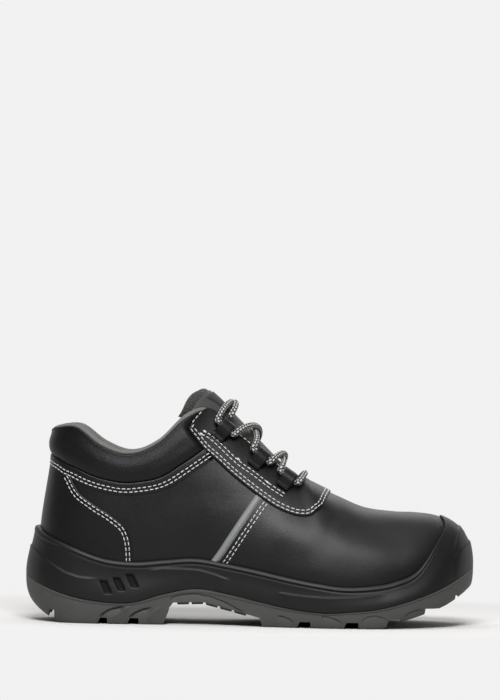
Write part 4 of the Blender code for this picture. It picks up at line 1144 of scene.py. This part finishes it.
bandShape = {
    "deep": 8.6, "base": 0.35, "thick": 1.25, "edge": 1.1, "across": 18,
    "start": 0.05, "full": 0.3, "back": 0.02,
}


def makeSeamBand(shape, seam):  # folded top edge of the quarters, over the collar's lower seam
    grid, _, b, width = overlayGrid(seam, slide(seam, shape["deep"]), shape["across"])
    fold = roundEdge(b[None] * width[:, None] + shape["start"], shape["edge"])
    fall = 1 - softStep((b - shape["full"]) / (1 - shape["full"]))
    off = shape["base"] + shape["thick"] * fold * fall[None]
    front, back = onGrid(grid, off), onGrid(grid, shape["back"])
    addSheet("collar_seam_band", front, back, quarterLeather, "black_leather")


makeUpper(upperShape)
makeLining(liningShape)
collarSeam = makeCollar(collarShape)
makeCollarShadowCord(shadowCordShape)
counterEdge = makeCounter(counterShape)
eyestayOuter, eyestayInner = makeEyestay(eyestayShape)
pipingEdge = {}
for side, word in ((-1, "outer"), (1, "inner")):
    pipingEdge[side] = makePiping(pipingShape, side, f"reflective_piping_{word}", f"piping_{word}")
print("upper made")


tongueShape = {
    "rows": [  # x, z, radius, half angle, thickness
        (52, 85, 17, 50, 2.4), (40, 90.2, 17, 55, 2.6), (30, 97.4, 17, 62, 3), (20, 108.4, 17.5, 68, 3.4),
        (8, 120.6, 18, 72, 4), (-6.2, 135, 18.5, 74, 5), (-21.2, 150, 19, 84, 7.4), (-28, 156, 20.5, 101, 9),
        (-34, 160.7, 21, 110, 9),
    ],
    "throatStart": 7, "steps": 10, "across": 60, "edgePower": 6, "endRound": 4.0, "endLeast": 0.15,
    "crown": 2.6, "crownFade": 7.0,
    # smooth cloth on the front and a plain strip on it, from and to in millimetres from the top down
    "cover": {"side": 0.84, "off": 0.15, "thick": 0.7, "from": 5.2, "to": math.inf},
    "label": {"side": 0.42, "off": 0.95, "thick": 0.6, "from": 7.0, "to": 30.0},
    "strip": {"across": 36, "edgeSpan": 12, "edge": 0.8, "least": 0.1, "sunk": 0.1},
}


def tongueFrames(shape):
    rows = smoothRun(np.array(shape["rows"], float), shape["steps"])
    ahead = unit(np.gradient(rows[:, :2], axis=0))
    normal = np.stack([ahead[:, 1], np.zeros(len(rows)), -ahead[:, 0]], -1)
    last = np.array(lastShape["rows"], float)
    throat = slice(shape["throatStart"], lastShape["throatEnd"] + 1)
    middle = np.interp(rows[:, 0], last[throat, 6], last[throat, 7])
    front = np.stack([rows[:, 0], middle, rows[:, 1]], -1)
    return rows, normal, front


def tongueSheet(shape, share, off, picked):  # points on the tongue's front, share -1 to 1 across it
    frames = tongueFrames(shape)
    along = lengthAlong(frames[2])
    toTop = (along[-1] - along)[picked]
    rows, normal, front = (part[picked] for part in frames)
    angle = np.radians(rows[:, 3])[:, None] * share[None]
    arc = normal[:, None] * np.cos(angle)[..., None]
    arc = arc + np.array((0, 1.0, 0)) * np.sin(angle)[..., None]
    radius = (rows[:, 2:3] + off) * np.ones(angle.shape)
    centre = front - normal * rows[:, 2:3]
    crown = shape["crown"] * np.exp(-toTop / shape["crownFade"])[:, None] * np.sin(math.pi * share) ** 2
    upward = np.stack([-normal[:, 2], 0 * toTop, normal[:, 0]], -1)
    points = centre[:, None] + arc * radius[..., None] + upward[:, None] * crown[..., None]
    return points, radius * angle


def makeTongue(shape):
    rows, _, front = tongueFrames(shape)
    along = lengthAlong(front)
    toTop = along[-1] - along
    every = np.arange(len(rows))
    share = np.sin(np.linspace(-math.pi / 2, math.pi / 2, shape["across"]))
    middle = rows[:, 4:5] / 2
    half = middle * np.sqrt(1 - np.abs(share[None]) ** shape["edgePower"] + 1e-6)
    end = shape["endLeast"] + (1 - shape["endLeast"]) * roundEdge(toTop, shape["endRound"])
    half = half * end[:, None]
    face, run = tongueSheet(shape, share, half - middle, every)
    back, _ = tongueSheet(shape, share, -half - middle, every)
    pad = addSheet("tongue_pad", face, back, tongueMesh, "dark_mesh", ["tongue"], flowOf(along, run))
    for name, finish in (("cover", tongueCloth), ("label", labelWeave)):
        picked = np.where((toTop >= shape[name]["from"]) & (toTop <= shape[name]["to"]))[0]
        addTongueStrip(f"tongue_{name}", shape, shape[name], picked, finish)


def addTongueStrip(name, shape, strip, picked, finish):
    look = shape["strip"]
    share = np.linspace(-strip["side"], strip["side"], look["across"])
    rim = (1 - np.abs(share) / strip["side"]) * look["edgeSpan"]
    thick = strip["thick"] * (look["least"] + (1 - look["least"]) * roundEdge(rim, look["edge"]))[None]
    face, run = tongueSheet(shape, share, strip["off"] + thick, picked)
    back, _ = tongueSheet(shape, share, strip["off"] - look["sunk"], picked)
    flow = flowOf(lengthAlong(face[:, look["across"] // 2]), run)
    addSheet(name, face, back, finish, "dark_mesh", (), flow)


loopShape = {
    "places": [(-19.7, 130.9), (4.1, 111.4), (23.1, 96.6)], "seat": 2.0, "length": 9.5, "axis": 3.6,
    "wall": 1.25, "rows": 16, "steps": 5, "edge": 0.6, "least": 0.25,
    # the folded tab seen along the lace: towards the throat, and out
    "section": [(-9.2, 0.75), (-7.6, 0.8), (-6.2, 1.3), (-5.3, 3.2), (-4.4, 5.2), (-2.4, 6.5), (0, 6.75),
                (2.6, 6.3), (4.4, 4.9), (5.1, 3.0), (4.6, 1.4), (3.0, 0.75), (0, 0.7), (-3.2, 0.7)],
}


def throatWay():  # from the top loop down to the lowest one, seen from the side
    first, last = (loopShape["places"][k] for k in (0, -1))
    return np.array((last[0] - first[0], 0.0, last[1] - first[1]))


def loopAxes(side, number):
    place = locate(side, [loopShape["places"][number]])
    out = shoeNormal(place[:, 0], place[:, 1])[0]
    throat = throatWay()
    along = unit(throat - out * (throat @ out))
    seat = shoePoint(place[:, 0], place[:, 1])[0] + out * loopShape["seat"]
    return seat, along, np.cross(out, along) * -side, out  # across points to the throat


def makeLoop(shape, side, number, name, node):
    seat, along, across, out = loopAxes(side, number)
    section = smoothRun(np.array(shape["section"], float), shape["steps"])
    ahead = unit(np.gradient(section, axis=0))
    outward = np.stack([-ahead[:, 1], ahead[:, 0]], -1)
    ends = np.linspace(-0.5, 0.5, shape["rows"]) * shape["length"]
    rim = roundEdge(shape["length"] / 2 - np.abs(ends), shape["edge"])
    front, back = [], []
    for end, share in zip(ends, rim):
        half = shape["wall"] / 2 * (shape["least"] + (1 - shape["least"]) * share)
        for rows, sign in ((front, 1), (back, -1)):
            line = section + outward * half * sign
            rows.append(seat + across * line[:, :1] + out * line[:, 1:] + along * end)
    addSheet(name, np.array(front), np.array(back), overlayLeather, "black_leather", [node])


laceShape = {
    "nodes": ["lace_bar", "lace_cross_low", "lace_cross_high", "lace_top_back", "lace_top_front"],
    "diameter": 3.9, "sides": 20, "step": 0.45, "lead": 2.4, "mouth": 0.4, "tipStart": 0.02, "tipRound": 1.4,
    "archRows": 17, "nearest": 0.8, "smooth": 8, "settle": 6,
    # from loop to loop: side, number and end (1 toe, -1 collar) of both, rise of the crest, slide of it
    "route": [
        ((1, 0, -1), (-1, 0, -1), 14.6, 4.0), ((-1, 0, 1), (1, 1, -1), 14.0, -1.0),
        ((1, 1, 1), (-1, 2, -1), 8.2, 0.0), ((-1, 2, 1), (1, 2, 1), 8.4, 0.0),
        ((1, 2, -1), (-1, 1, 1), 11.0, 0.0), ((-1, 1, -1), (1, 0, 1), 10.4, 0.0),
        ((1, 0, -1), (-1, 0, -1), 13.6, 1.4),
    ],
    # hidden ends from the mouths of the top loops: to the throat, out, to the toe; one lies in its loop
    "tucked": {1: (3.0, -0.4, 5.0), -1: (9.2, -3.4, 3.0)},
    "braid": {"strands": 8, "pitch": 5.2, "relief": 0.16},
}


def loopMouth(side, number, end):
    seat, along, _, out = loopAxes(side, number)
    reach = loopShape["length"] / 2 + laceShape["mouth"]
    return seat + out * loopShape["axis"] + along * end * reach, along * end


def tuckedEnd(side):
    _, along, across, out = loopAxes(side, 0)
    toThroat, outward, toToe = laceShape["tucked"][side]
    mouth, _ = loopMouth(side, 0, -1)
    return mouth + across * toThroat + out * outward + along * toToe


def laceRoute(shape):
    throat = unit(throatWay())
    up = np.array((-throat[2], 0.0, throat[0]))
    route = []
    for number, (first, last, rise, shift) in enumerate(shape["route"]):
        start, startWay = loopMouth(*first)
        end, endWay = loopMouth(*last)
        a, b = start + startWay * shape["lead"], end + endWay * shape["lead"]
        if number == 0:
            start = a = tuckedEnd(first[0])
        if number == len(shape["route"]) - 1:
            end = b = tuckedEnd(last[0])
        route.append(start)
        for turn in np.linspace(0, math.pi, shape["archRows"]):
            lift = (up * rise - throat * shift) * math.sin(turn)
            route.append(a + (b - a) * (1 - math.cos(turn)) / 2 + lift)
        route.append(end)
    keep = [route[0]]
    for point in route[1:]:
        if np.linalg.norm(point - keep[-1]) > shape["nearest"]:
            keep.append(point)
    return smoothRun(np.array(keep), shape["smooth"])


def evenly(points, step):
    run = lengthAlong(points)
    marks = np.linspace(0, run[-1], int(run[-1] / step) + 1)
    return atMarks(marks, run, points), marks


def carryFrames(points):  # directions across a route that don't twist along it
    ahead = unit(np.gradient(points, axis=0))
    first = unit(np.cross(ahead[0], (0.3, 0.0, 1.0)))
    across = []
    for way in ahead:
        first = unit(first - way * (first @ way))
        across.append(first)
    across = np.array(across)
    return across, np.cross(ahead, across)


def layCord(mesh, marks, sides):  # millimetres along the cord, and 0 to 1 round it
    quads = gridQuads(len(marks), sides, closeCols=True)
    r, c = quads[:, 0] // sides, quads[:, 0] % sides
    corners = ((0, 0), (0, 1), (1, 1), (1, 0))
    spots = np.stack([np.stack([marks[r + a], (c + b) / sides], -1) for a, b in corners], 1)
    flat = np.zeros((len(mesh.loops), 2), np.float32)
    flat[:len(quads) * 4] = spots.reshape(-1, 2)
    mesh.uv_layers.new(name="cord").data.foreach_set("uv", flat.ravel())


def makeLace(shape):
    points, marks = evenly(laceRoute(shape), shape["step"])
    for _ in range(shape["settle"]):  # ease the bends
        points[1:-1] += 0.5 * ((points[:-2] + points[2:]) / 2 - points[1:-1])
    across, other = carryFrames(points)
    sides, braid = shape["sides"], shape["braid"]
    turn = np.linspace(0, 2 * math.pi, sides, endpoint=False)
    run = marks[:, None] / braid["pitch"] * 2 * math.pi
    lane = turn[None] * braid["strands"] / 2
    strand = np.maximum(np.abs(np.cos(lane + run)), np.abs(np.cos(lane - run)))
    tip = roundEdge(np.minimum(marks, marks[-1] - marks) + shape["tipStart"], shape["tipRound"])[:, None]
    radius = (shape["diameter"] / 2 - braid["relief"] * (1 - strand)) * tip
    grid = points[:, None] + across[:, None] * (np.cos(turn)[None] * radius)[..., None]
    grid = grid + other[:, None] * (np.sin(turn)[None] * radius)[..., None]
    mesh = bpy.data.meshes.new("lace")
    mesh.from_pydata((grid.reshape(-1, 3) * mm).tolist(), [], tubeFaces(len(points), sides))
    layCord(mesh, marks, sides)
    facesOut(mesh)
    addMesh("lace", mesh, laceFinish("laceCord", laceLook), shape["nodes"])
    print("lace length", round(float(marks[-1])), "mm")


laceLook = {
    "colour": (0.02, 0.02, 0.019), "dark": 0.5, "light": 1.6, "roughness": 0.75, "fuzz": 1500.0,
    "fleck": (0.5, 0.5, 0.47), "pitch": 2.4, "rows": 6, "long": 0.58, "wide": 0.6,
    "worn": (0.3, 0.6, 0.5, 1.0), "fleckBump": (0.3, 0.15), "fuzzBump": (0.4, 0.15),
}


def laceFinish(name, settings):
    finish, tree, shader = newFinish(name, settings)
    spot = addNode(tree, "ShaderNodeUVMap", uv_map="cord").outputs[0]
    split = addNode(tree, "ShaderNodeSeparateXYZ", {0: spot})
    lane = maths(tree, "MULTIPLY", split.outputs[1], settings["rows"])
    step = maths(tree, "DIVIDE", split.outputs[0], settings["pitch"])
    step = maths(tree, "MULTIPLY_ADD", maths(tree, "FLOOR", lane), 0.5, step)  # next row half a step on
    inside = []
    for value, size in ((lane, settings["wide"]), (step, settings["long"])):
        away = maths(tree, "ABSOLUTE", maths(tree, "SUBTRACT", maths(tree, "FRACT", value), 0.5))
        inside.append(maths(tree, "LESS_THAN", away, size / 2))
    fuzz = noise(tree, settings["fuzz"])
    worn = rangeOf(tree, fuzz, *settings["worn"])
    fleck = maths(tree, "MULTIPLY", maths(tree, "MULTIPLY", *inside), worn)
    base = blendColour(tree, fuzz, *shades(settings["colour"], settings["dark"], settings["light"]))
    tree.links.new(blendColour(tree, fleck, base, settings["fleck"]), shader.inputs["Base Color"])
    shader.inputs["Roughness"].default_value = settings["roughness"]
    bumpInto(tree, shader, [(fleck, *settings["fleckBump"]), (fuzz, *settings["fuzzBump"])])
    return finish


makeTongue(tongueShape)
for side, word in ((-1, "outer"), (1, "inner")):
    for number in range(len(loopShape["places"])):
        makeLoop(loopShape, side, number, f"loop_tab_{word}_{number + 1}", f"lace_loop_{word}_{number + 1}")
makeLace(laceShape)
print("throat made")


stitchShape = {
    "pitch": 3.5, "long": 2.75, "wide": 0.72, "tall": 0.5, "sink": 0.1, "rings": 7, "sides": 8,
    "arch": 0.45, "least": 0.04, "look": 1.2, "weld": 0.0001,
}
tackShape = {**stitchShape, "long": 2.6, "wide": 1.5, "tall": 0.9, "sink": 0.2}


def stitchTemplate(shape):
    x = np.linspace(-0.5, 0.5, shape["rings"])
    size = np.sqrt(np.maximum(1 - (2 * x) ** 4, shape["least"])) / 2
    arch = shape["tall"] * shape["arch"] * (1 - (2 * x) ** 2)
    turn = np.linspace(0, 2 * math.pi, shape["sides"], endpoint=False)
    ring = np.zeros((shape["rings"], shape["sides"], 3))
    ring[..., 0] = x[:, None] * shape["long"]
    ring[..., 1] = size[:, None] * shape["wide"] * np.cos(turn)
    ring[..., 2] = size[:, None] * shape["tall"] * np.sin(turn) + arch[:, None]
    return ring.reshape(-1, 3), tubeFaces(shape["rings"], shape["sides"])


def stitchesAlong(path, off, shape):  # path of u, v places; off is how high the leather is there
    spots, normals = onGrid(path, off), shoeNormal(path[:, 0], path[:, 1])
    run = lengthAlong(spots)
    count = max(int(run[-1] / shape["pitch"]), 1)
    marks = (np.arange(count) + 0.5) * run[-1] / count
    out = unit(atMarks(marks, run, normals))
    fore, aft = (atMarks(marks + step, run, spots) for step in (shape["look"], -shape["look"]))
    ahead = unit(fore - aft)
    ahead = unit(ahead - out * (ahead * out).sum(-1, keepdims=True))
    across = np.cross(out, ahead)
    centre = atMarks(marks, run, spots) - out * shape["sink"]
    template, faces = stitchTemplate(shape)
    shapes = []
    for c, a, b, n in zip(centre, ahead, across, out):
        shapes.append((c + template[:, :1] * a + template[:, 1:2] * b + template[:, 2:] * n, faces))
    return shapes


def addStitches(name, runs, shape=stitchShape):
    points, faces = joinShapes([s for path, off in runs for s in stitchesAlong(path, off, shape)])
    addPiece(name, points, faces, seamThread, "black_leather", weld=shape["weld"])


def lengthened(path, extra):  # both ends run on, under the eyestay
    spots = shoePoint(path[:, 0], path[:, 1])
    first = path[0] + (path[0] - path[1]) * extra / np.linalg.norm(spots[0] - spots[1])
    last = path[-1] + (path[-1] - path[-2]) * extra / np.linalg.norm(spots[-1] - spots[-2])
    return np.vstack([first, path, last])


seamRows = {
    # how far the rows lie from their edge, how high the leather is there, and where they end
    "collar": (4.2, 6.4), "collarHigh": 1.35, "runOn": 3.0,
    "counter": (1.7, 3.9), "counterHigh": 1.25, "counterTop": 100.5,
    "eyestay": (1.7, 4.1), "eyestayHigh": 1.9, "lowerFrom": 16, "throat": 1.9, "throatRun": (34, 128),
    "corner": (0.12, 0.88, 20), "cornerRow": 6,
    "facing": [(-35, 127.8), (-16, 112.8), (0, 100.6), (10.4, 92.8), (21.4, 85.8)], "facingSteps": 10,
    "facingApart": 2.6,
    "tacks": [(-34.6, 127.6), (-32.4, 129.4), (-9.5, 110.8), (10.4, 95.4)], "tackHalf": (1.2, -0.9),
    "piping": (2.4, 4.8), "pipingHigh": 0.6, "pipingTop": 85.5,
}


def lowerPart(path, top):  # as much of a path as lies under this height
    return path[shoePoint(path[:, 0], path[:, 1])[:, 2] < top]


def eyestayRuns(rows, side):
    outer, inner = eyestayOuter[side], eyestayInner[side]
    start = rows["cornerRow"]
    share = np.linspace(*rows["corner"])[:, None]
    line = smoothRun(locate(side, rows["facing"]), rows["facingSteps"])
    return [
        slide(outer, -side * rows["eyestay"][0]),
        outer[start] + (inner[start] - outer[start]) * share,  # round the top corner
        slide(outer[rows["lowerFrom"]:], -side * rows["eyestay"][1]),
        slide(inner[slice(*rows["throatRun"])], side * rows["throat"]),  # down to the corner of the throat
        line, slide(line, -side * rows["facingApart"]),
    ]


def makeSeams(rows):
    collar = lengthened(collarSeam, rows["runOn"])
    addStitches("stitches_collar", [(slide(collar, d), rows["collarHigh"]) for d in rows["collar"]])
    middle = len(counterEdge) // 2
    counter = []
    for half in (counterEdge[:middle], counterEdge[middle + 1:]):
        front = lowerPart(half, rows["counterTop"])
        counter += [(slide(front, d), rows["counterHigh"]) for d in rows["counter"]]
    addStitches("stitches_counter", counter)
    facing, tacks, piping = [], [], []
    step = np.array(rows["tackHalf"])
    for side in (-1, 1):
        facing += [(run, rows["eyestayHigh"]) for run in eyestayRuns(rows, side)]
        for spot in np.array(rows["tacks"]):
            tacks.append((locate(side, [spot - step, spot, spot + step]), rows["eyestayHigh"]))
        shown = lowerPart(pipingEdge[side], rows["pipingTop"])
        piping += [(slide(shown, -side * d), rows["pipingHigh"]) for d in rows["piping"]]
    addStitches("stitches_eyestay", facing)
    addStitches("bar_tacks", tacks, tackShape)
    addStitches("stitches_piping", piping)


makeSeamBand(bandShape, lengthened(collarSeam, seamRows["runOn"]))
makeSeams(seamRows)
print("seams made")


stageShape = {
    "half": 9.0, "back": 3.2, "rise": 5.0, "bend": 1.6, "bendStart": 0.1, "bendRows": 16,
    "colour": (0.8, 0.79, 0.78), "roughness": 0.9, "glow": 0.885,
    # the paper glows evenly outside a rounded patch that holds the shoe and its shadow
    "patch": (0.2, 0.17), "middle": 0.09, "near": 0.9, "far": 1.3,
}
viewShape = {
    "pixelsHigh": 700, "millimetresPerPixel": 0.6793, "planeY": -0.012, "aim": (-2.3, 185.6),
    "distance": 2.2, "elevation": -1.0, "roll": 0.9, "sensor": 36.0,
}
lightShape = {
    "overhead": {"place": (0.05, -0.2, 1.6), "aim": (0.03, 0, 0.05), "size": (1.4, 1.0),
                 "power": 9, "floor": "EXCLUDE"},
    "front": {"place": (0.0, -1.15, 1.2), "aim": (0.04, 0, 0.06), "size": (1.1, 0.5),
              "power": 36, "floor": "EXCLUDE"},
    "back": {"place": (0.1, 1.0, 0.85), "aim": (0.05, 0, 0.08), "size": (1.4, 0.5),
             "power": 4.4, "floor": "EXCLUDE"},
    "paperTop": {"place": (0.0, 0.0, 1.6), "aim": (0, 0, 0), "size": (1.4, 1.0),
                 "power": 10.5, "floor": "INCLUDE"},
    "paperFront": {"place": (0.0, -1.15, 1.2), "aim": (0, 0, 0), "size": (0.6, 0.5),
                   "power": 23.5, "floor": "INCLUDE"},
}
worldLook = {"colour": (0.9, 0.92, 0.95), "strength": 0.03}


def paperFinish(shape):
    finish = bpy.data.materials.new("studioPaper")
    finish.use_nodes = True
    tree = finish.node_tree
    shader = tree.nodes["Principled BSDF"]
    place = addNode(tree, "ShaderNodeTexCoord").outputs["Object"]
    wide, deep = shape["patch"]
    shifted = vectorMaths(tree, "ADD", place, (0, -shape["middle"], 0))
    scaled = vectorMaths(tree, "MULTIPLY", shifted, (1 / wide, 1 / deep, 1))
    squared = vectorMaths(tree, "MULTIPLY", scaled, scaled)
    length = addNode(tree, "ShaderNodeVectorMath", {0: squared}, operation="LENGTH").outputs["Value"]
    away = maths(tree, "SQRT", length)  # rounder than a box, squarer than an oval
    ends = {"Value": away, "From Min": shape["near"], "From Max": shape["far"]}
    far = addNode(tree, "ShaderNodeMapRange", ends, interpolation_type="SMOOTHSTEP").outputs[0]
    tree.links.new(blendColour(tree, far, shape["colour"], (0, 0, 0)), shader.inputs["Base Color"])
    tree.links.new(maths(tree, "MULTIPLY", far, shape["glow"]), shader.inputs["Emission Strength"])
    shader.inputs["Emission Color"].default_value = (1, 1, 1, 1)
    shader.inputs["Roughness"].default_value = shape["roughness"]
    shader.inputs["Specular IOR Level"].default_value = 0.0
    return finish


def makeStage(shape):
    half, back, bend = shape["half"], shape["back"], shape["bend"]
    profile = [(-half, 0.0), (back - bend, 0.0)]
    for turn in np.linspace(shape["bendStart"], math.pi / 2, shape["bendRows"]):
        profile.append((back - bend + bend * math.sin(turn), bend - bend * math.cos(turn)))
    profile.append((back, shape["rise"]))
    points = [(x, y, z) for y, z in profile for x in (-half, half)]
    mesh = bpy.data.meshes.new("studio_floor")
    mesh.from_pydata(points, [], gridQuads(len(profile), 2).tolist())
    mesh.shade_smooth()
    floor = bpy.data.objects.new("studio_floor", mesh)
    bpy.context.scene.collection.objects.link(floor)
    mesh.materials.append(paperFinish(shape))
    return floor


def aimed(thing, place, aim, roll=0.0):
    place, aim = Vector(place), Vector(aim)
    turn = (aim - place).to_track_quat("-Z", "Y")
    thing.location = place
    thing.rotation_euler = (turn @ Quaternion((0, 0, 1), math.radians(roll))).to_euler()


def makeLights(lights, floor):  # the shoe and the paper each have their own lights
    for name, light in lights.items():
        lamp = bpy.data.lights.new(name, "AREA")
        lamp.shape = "RECTANGLE"
        lamp.size, lamp.size_y = light["size"]
        lamp.energy = light["power"]
        lampObject = bpy.data.objects.new(name, lamp)
        bpy.context.scene.collection.objects.link(lampObject)
        aimed(lampObject, light["place"], light["aim"])
        lit = bpy.data.collections.new(name + "Lit")
        lit.objects.link(floor)
        lit.collection_objects[0].light_linking.link_state = light["floor"]
        lampObject.light_linking.receiver_collection = lit
    world = bpy.data.worlds.new("studioAir")
    bpy.context.scene.world = world
    world.use_nodes = True
    sky = world.node_tree.nodes["Background"]
    sky.inputs["Color"].default_value = (*worldLook["colour"], 1)
    sky.inputs["Strength"].default_value = worldLook["strength"]


def makeCamera(view):
    camera = bpy.data.cameras.new("photoCamera")
    camera.sensor_fit = "VERTICAL"
    camera.sensor_height = view["sensor"]
    tall = view["pixelsHigh"] * view["millimetresPerPixel"] * mm
    camera.lens = view["sensor"] * view["distance"] / tall
    cameraObject = bpy.data.objects.new("photoCamera", camera)
    bpy.context.scene.collection.objects.link(cameraObject)
    aim = Vector((view["aim"][0] * mm, view["planeY"], view["aim"][1] * mm))
    tilt = math.radians(view["elevation"])
    place = aim + Vector((0, -math.cos(tilt), math.sin(tilt))) * view["distance"]
    aimed(cameraObject, place, aim, view["roll"])
    bpy.context.scene.camera = cameraObject


makeLights(lightShape, makeStage(stageShape))
makeCamera(viewShape)
bpy.context.scene.view_settings.view_transform = "Standard"
print("stage made")
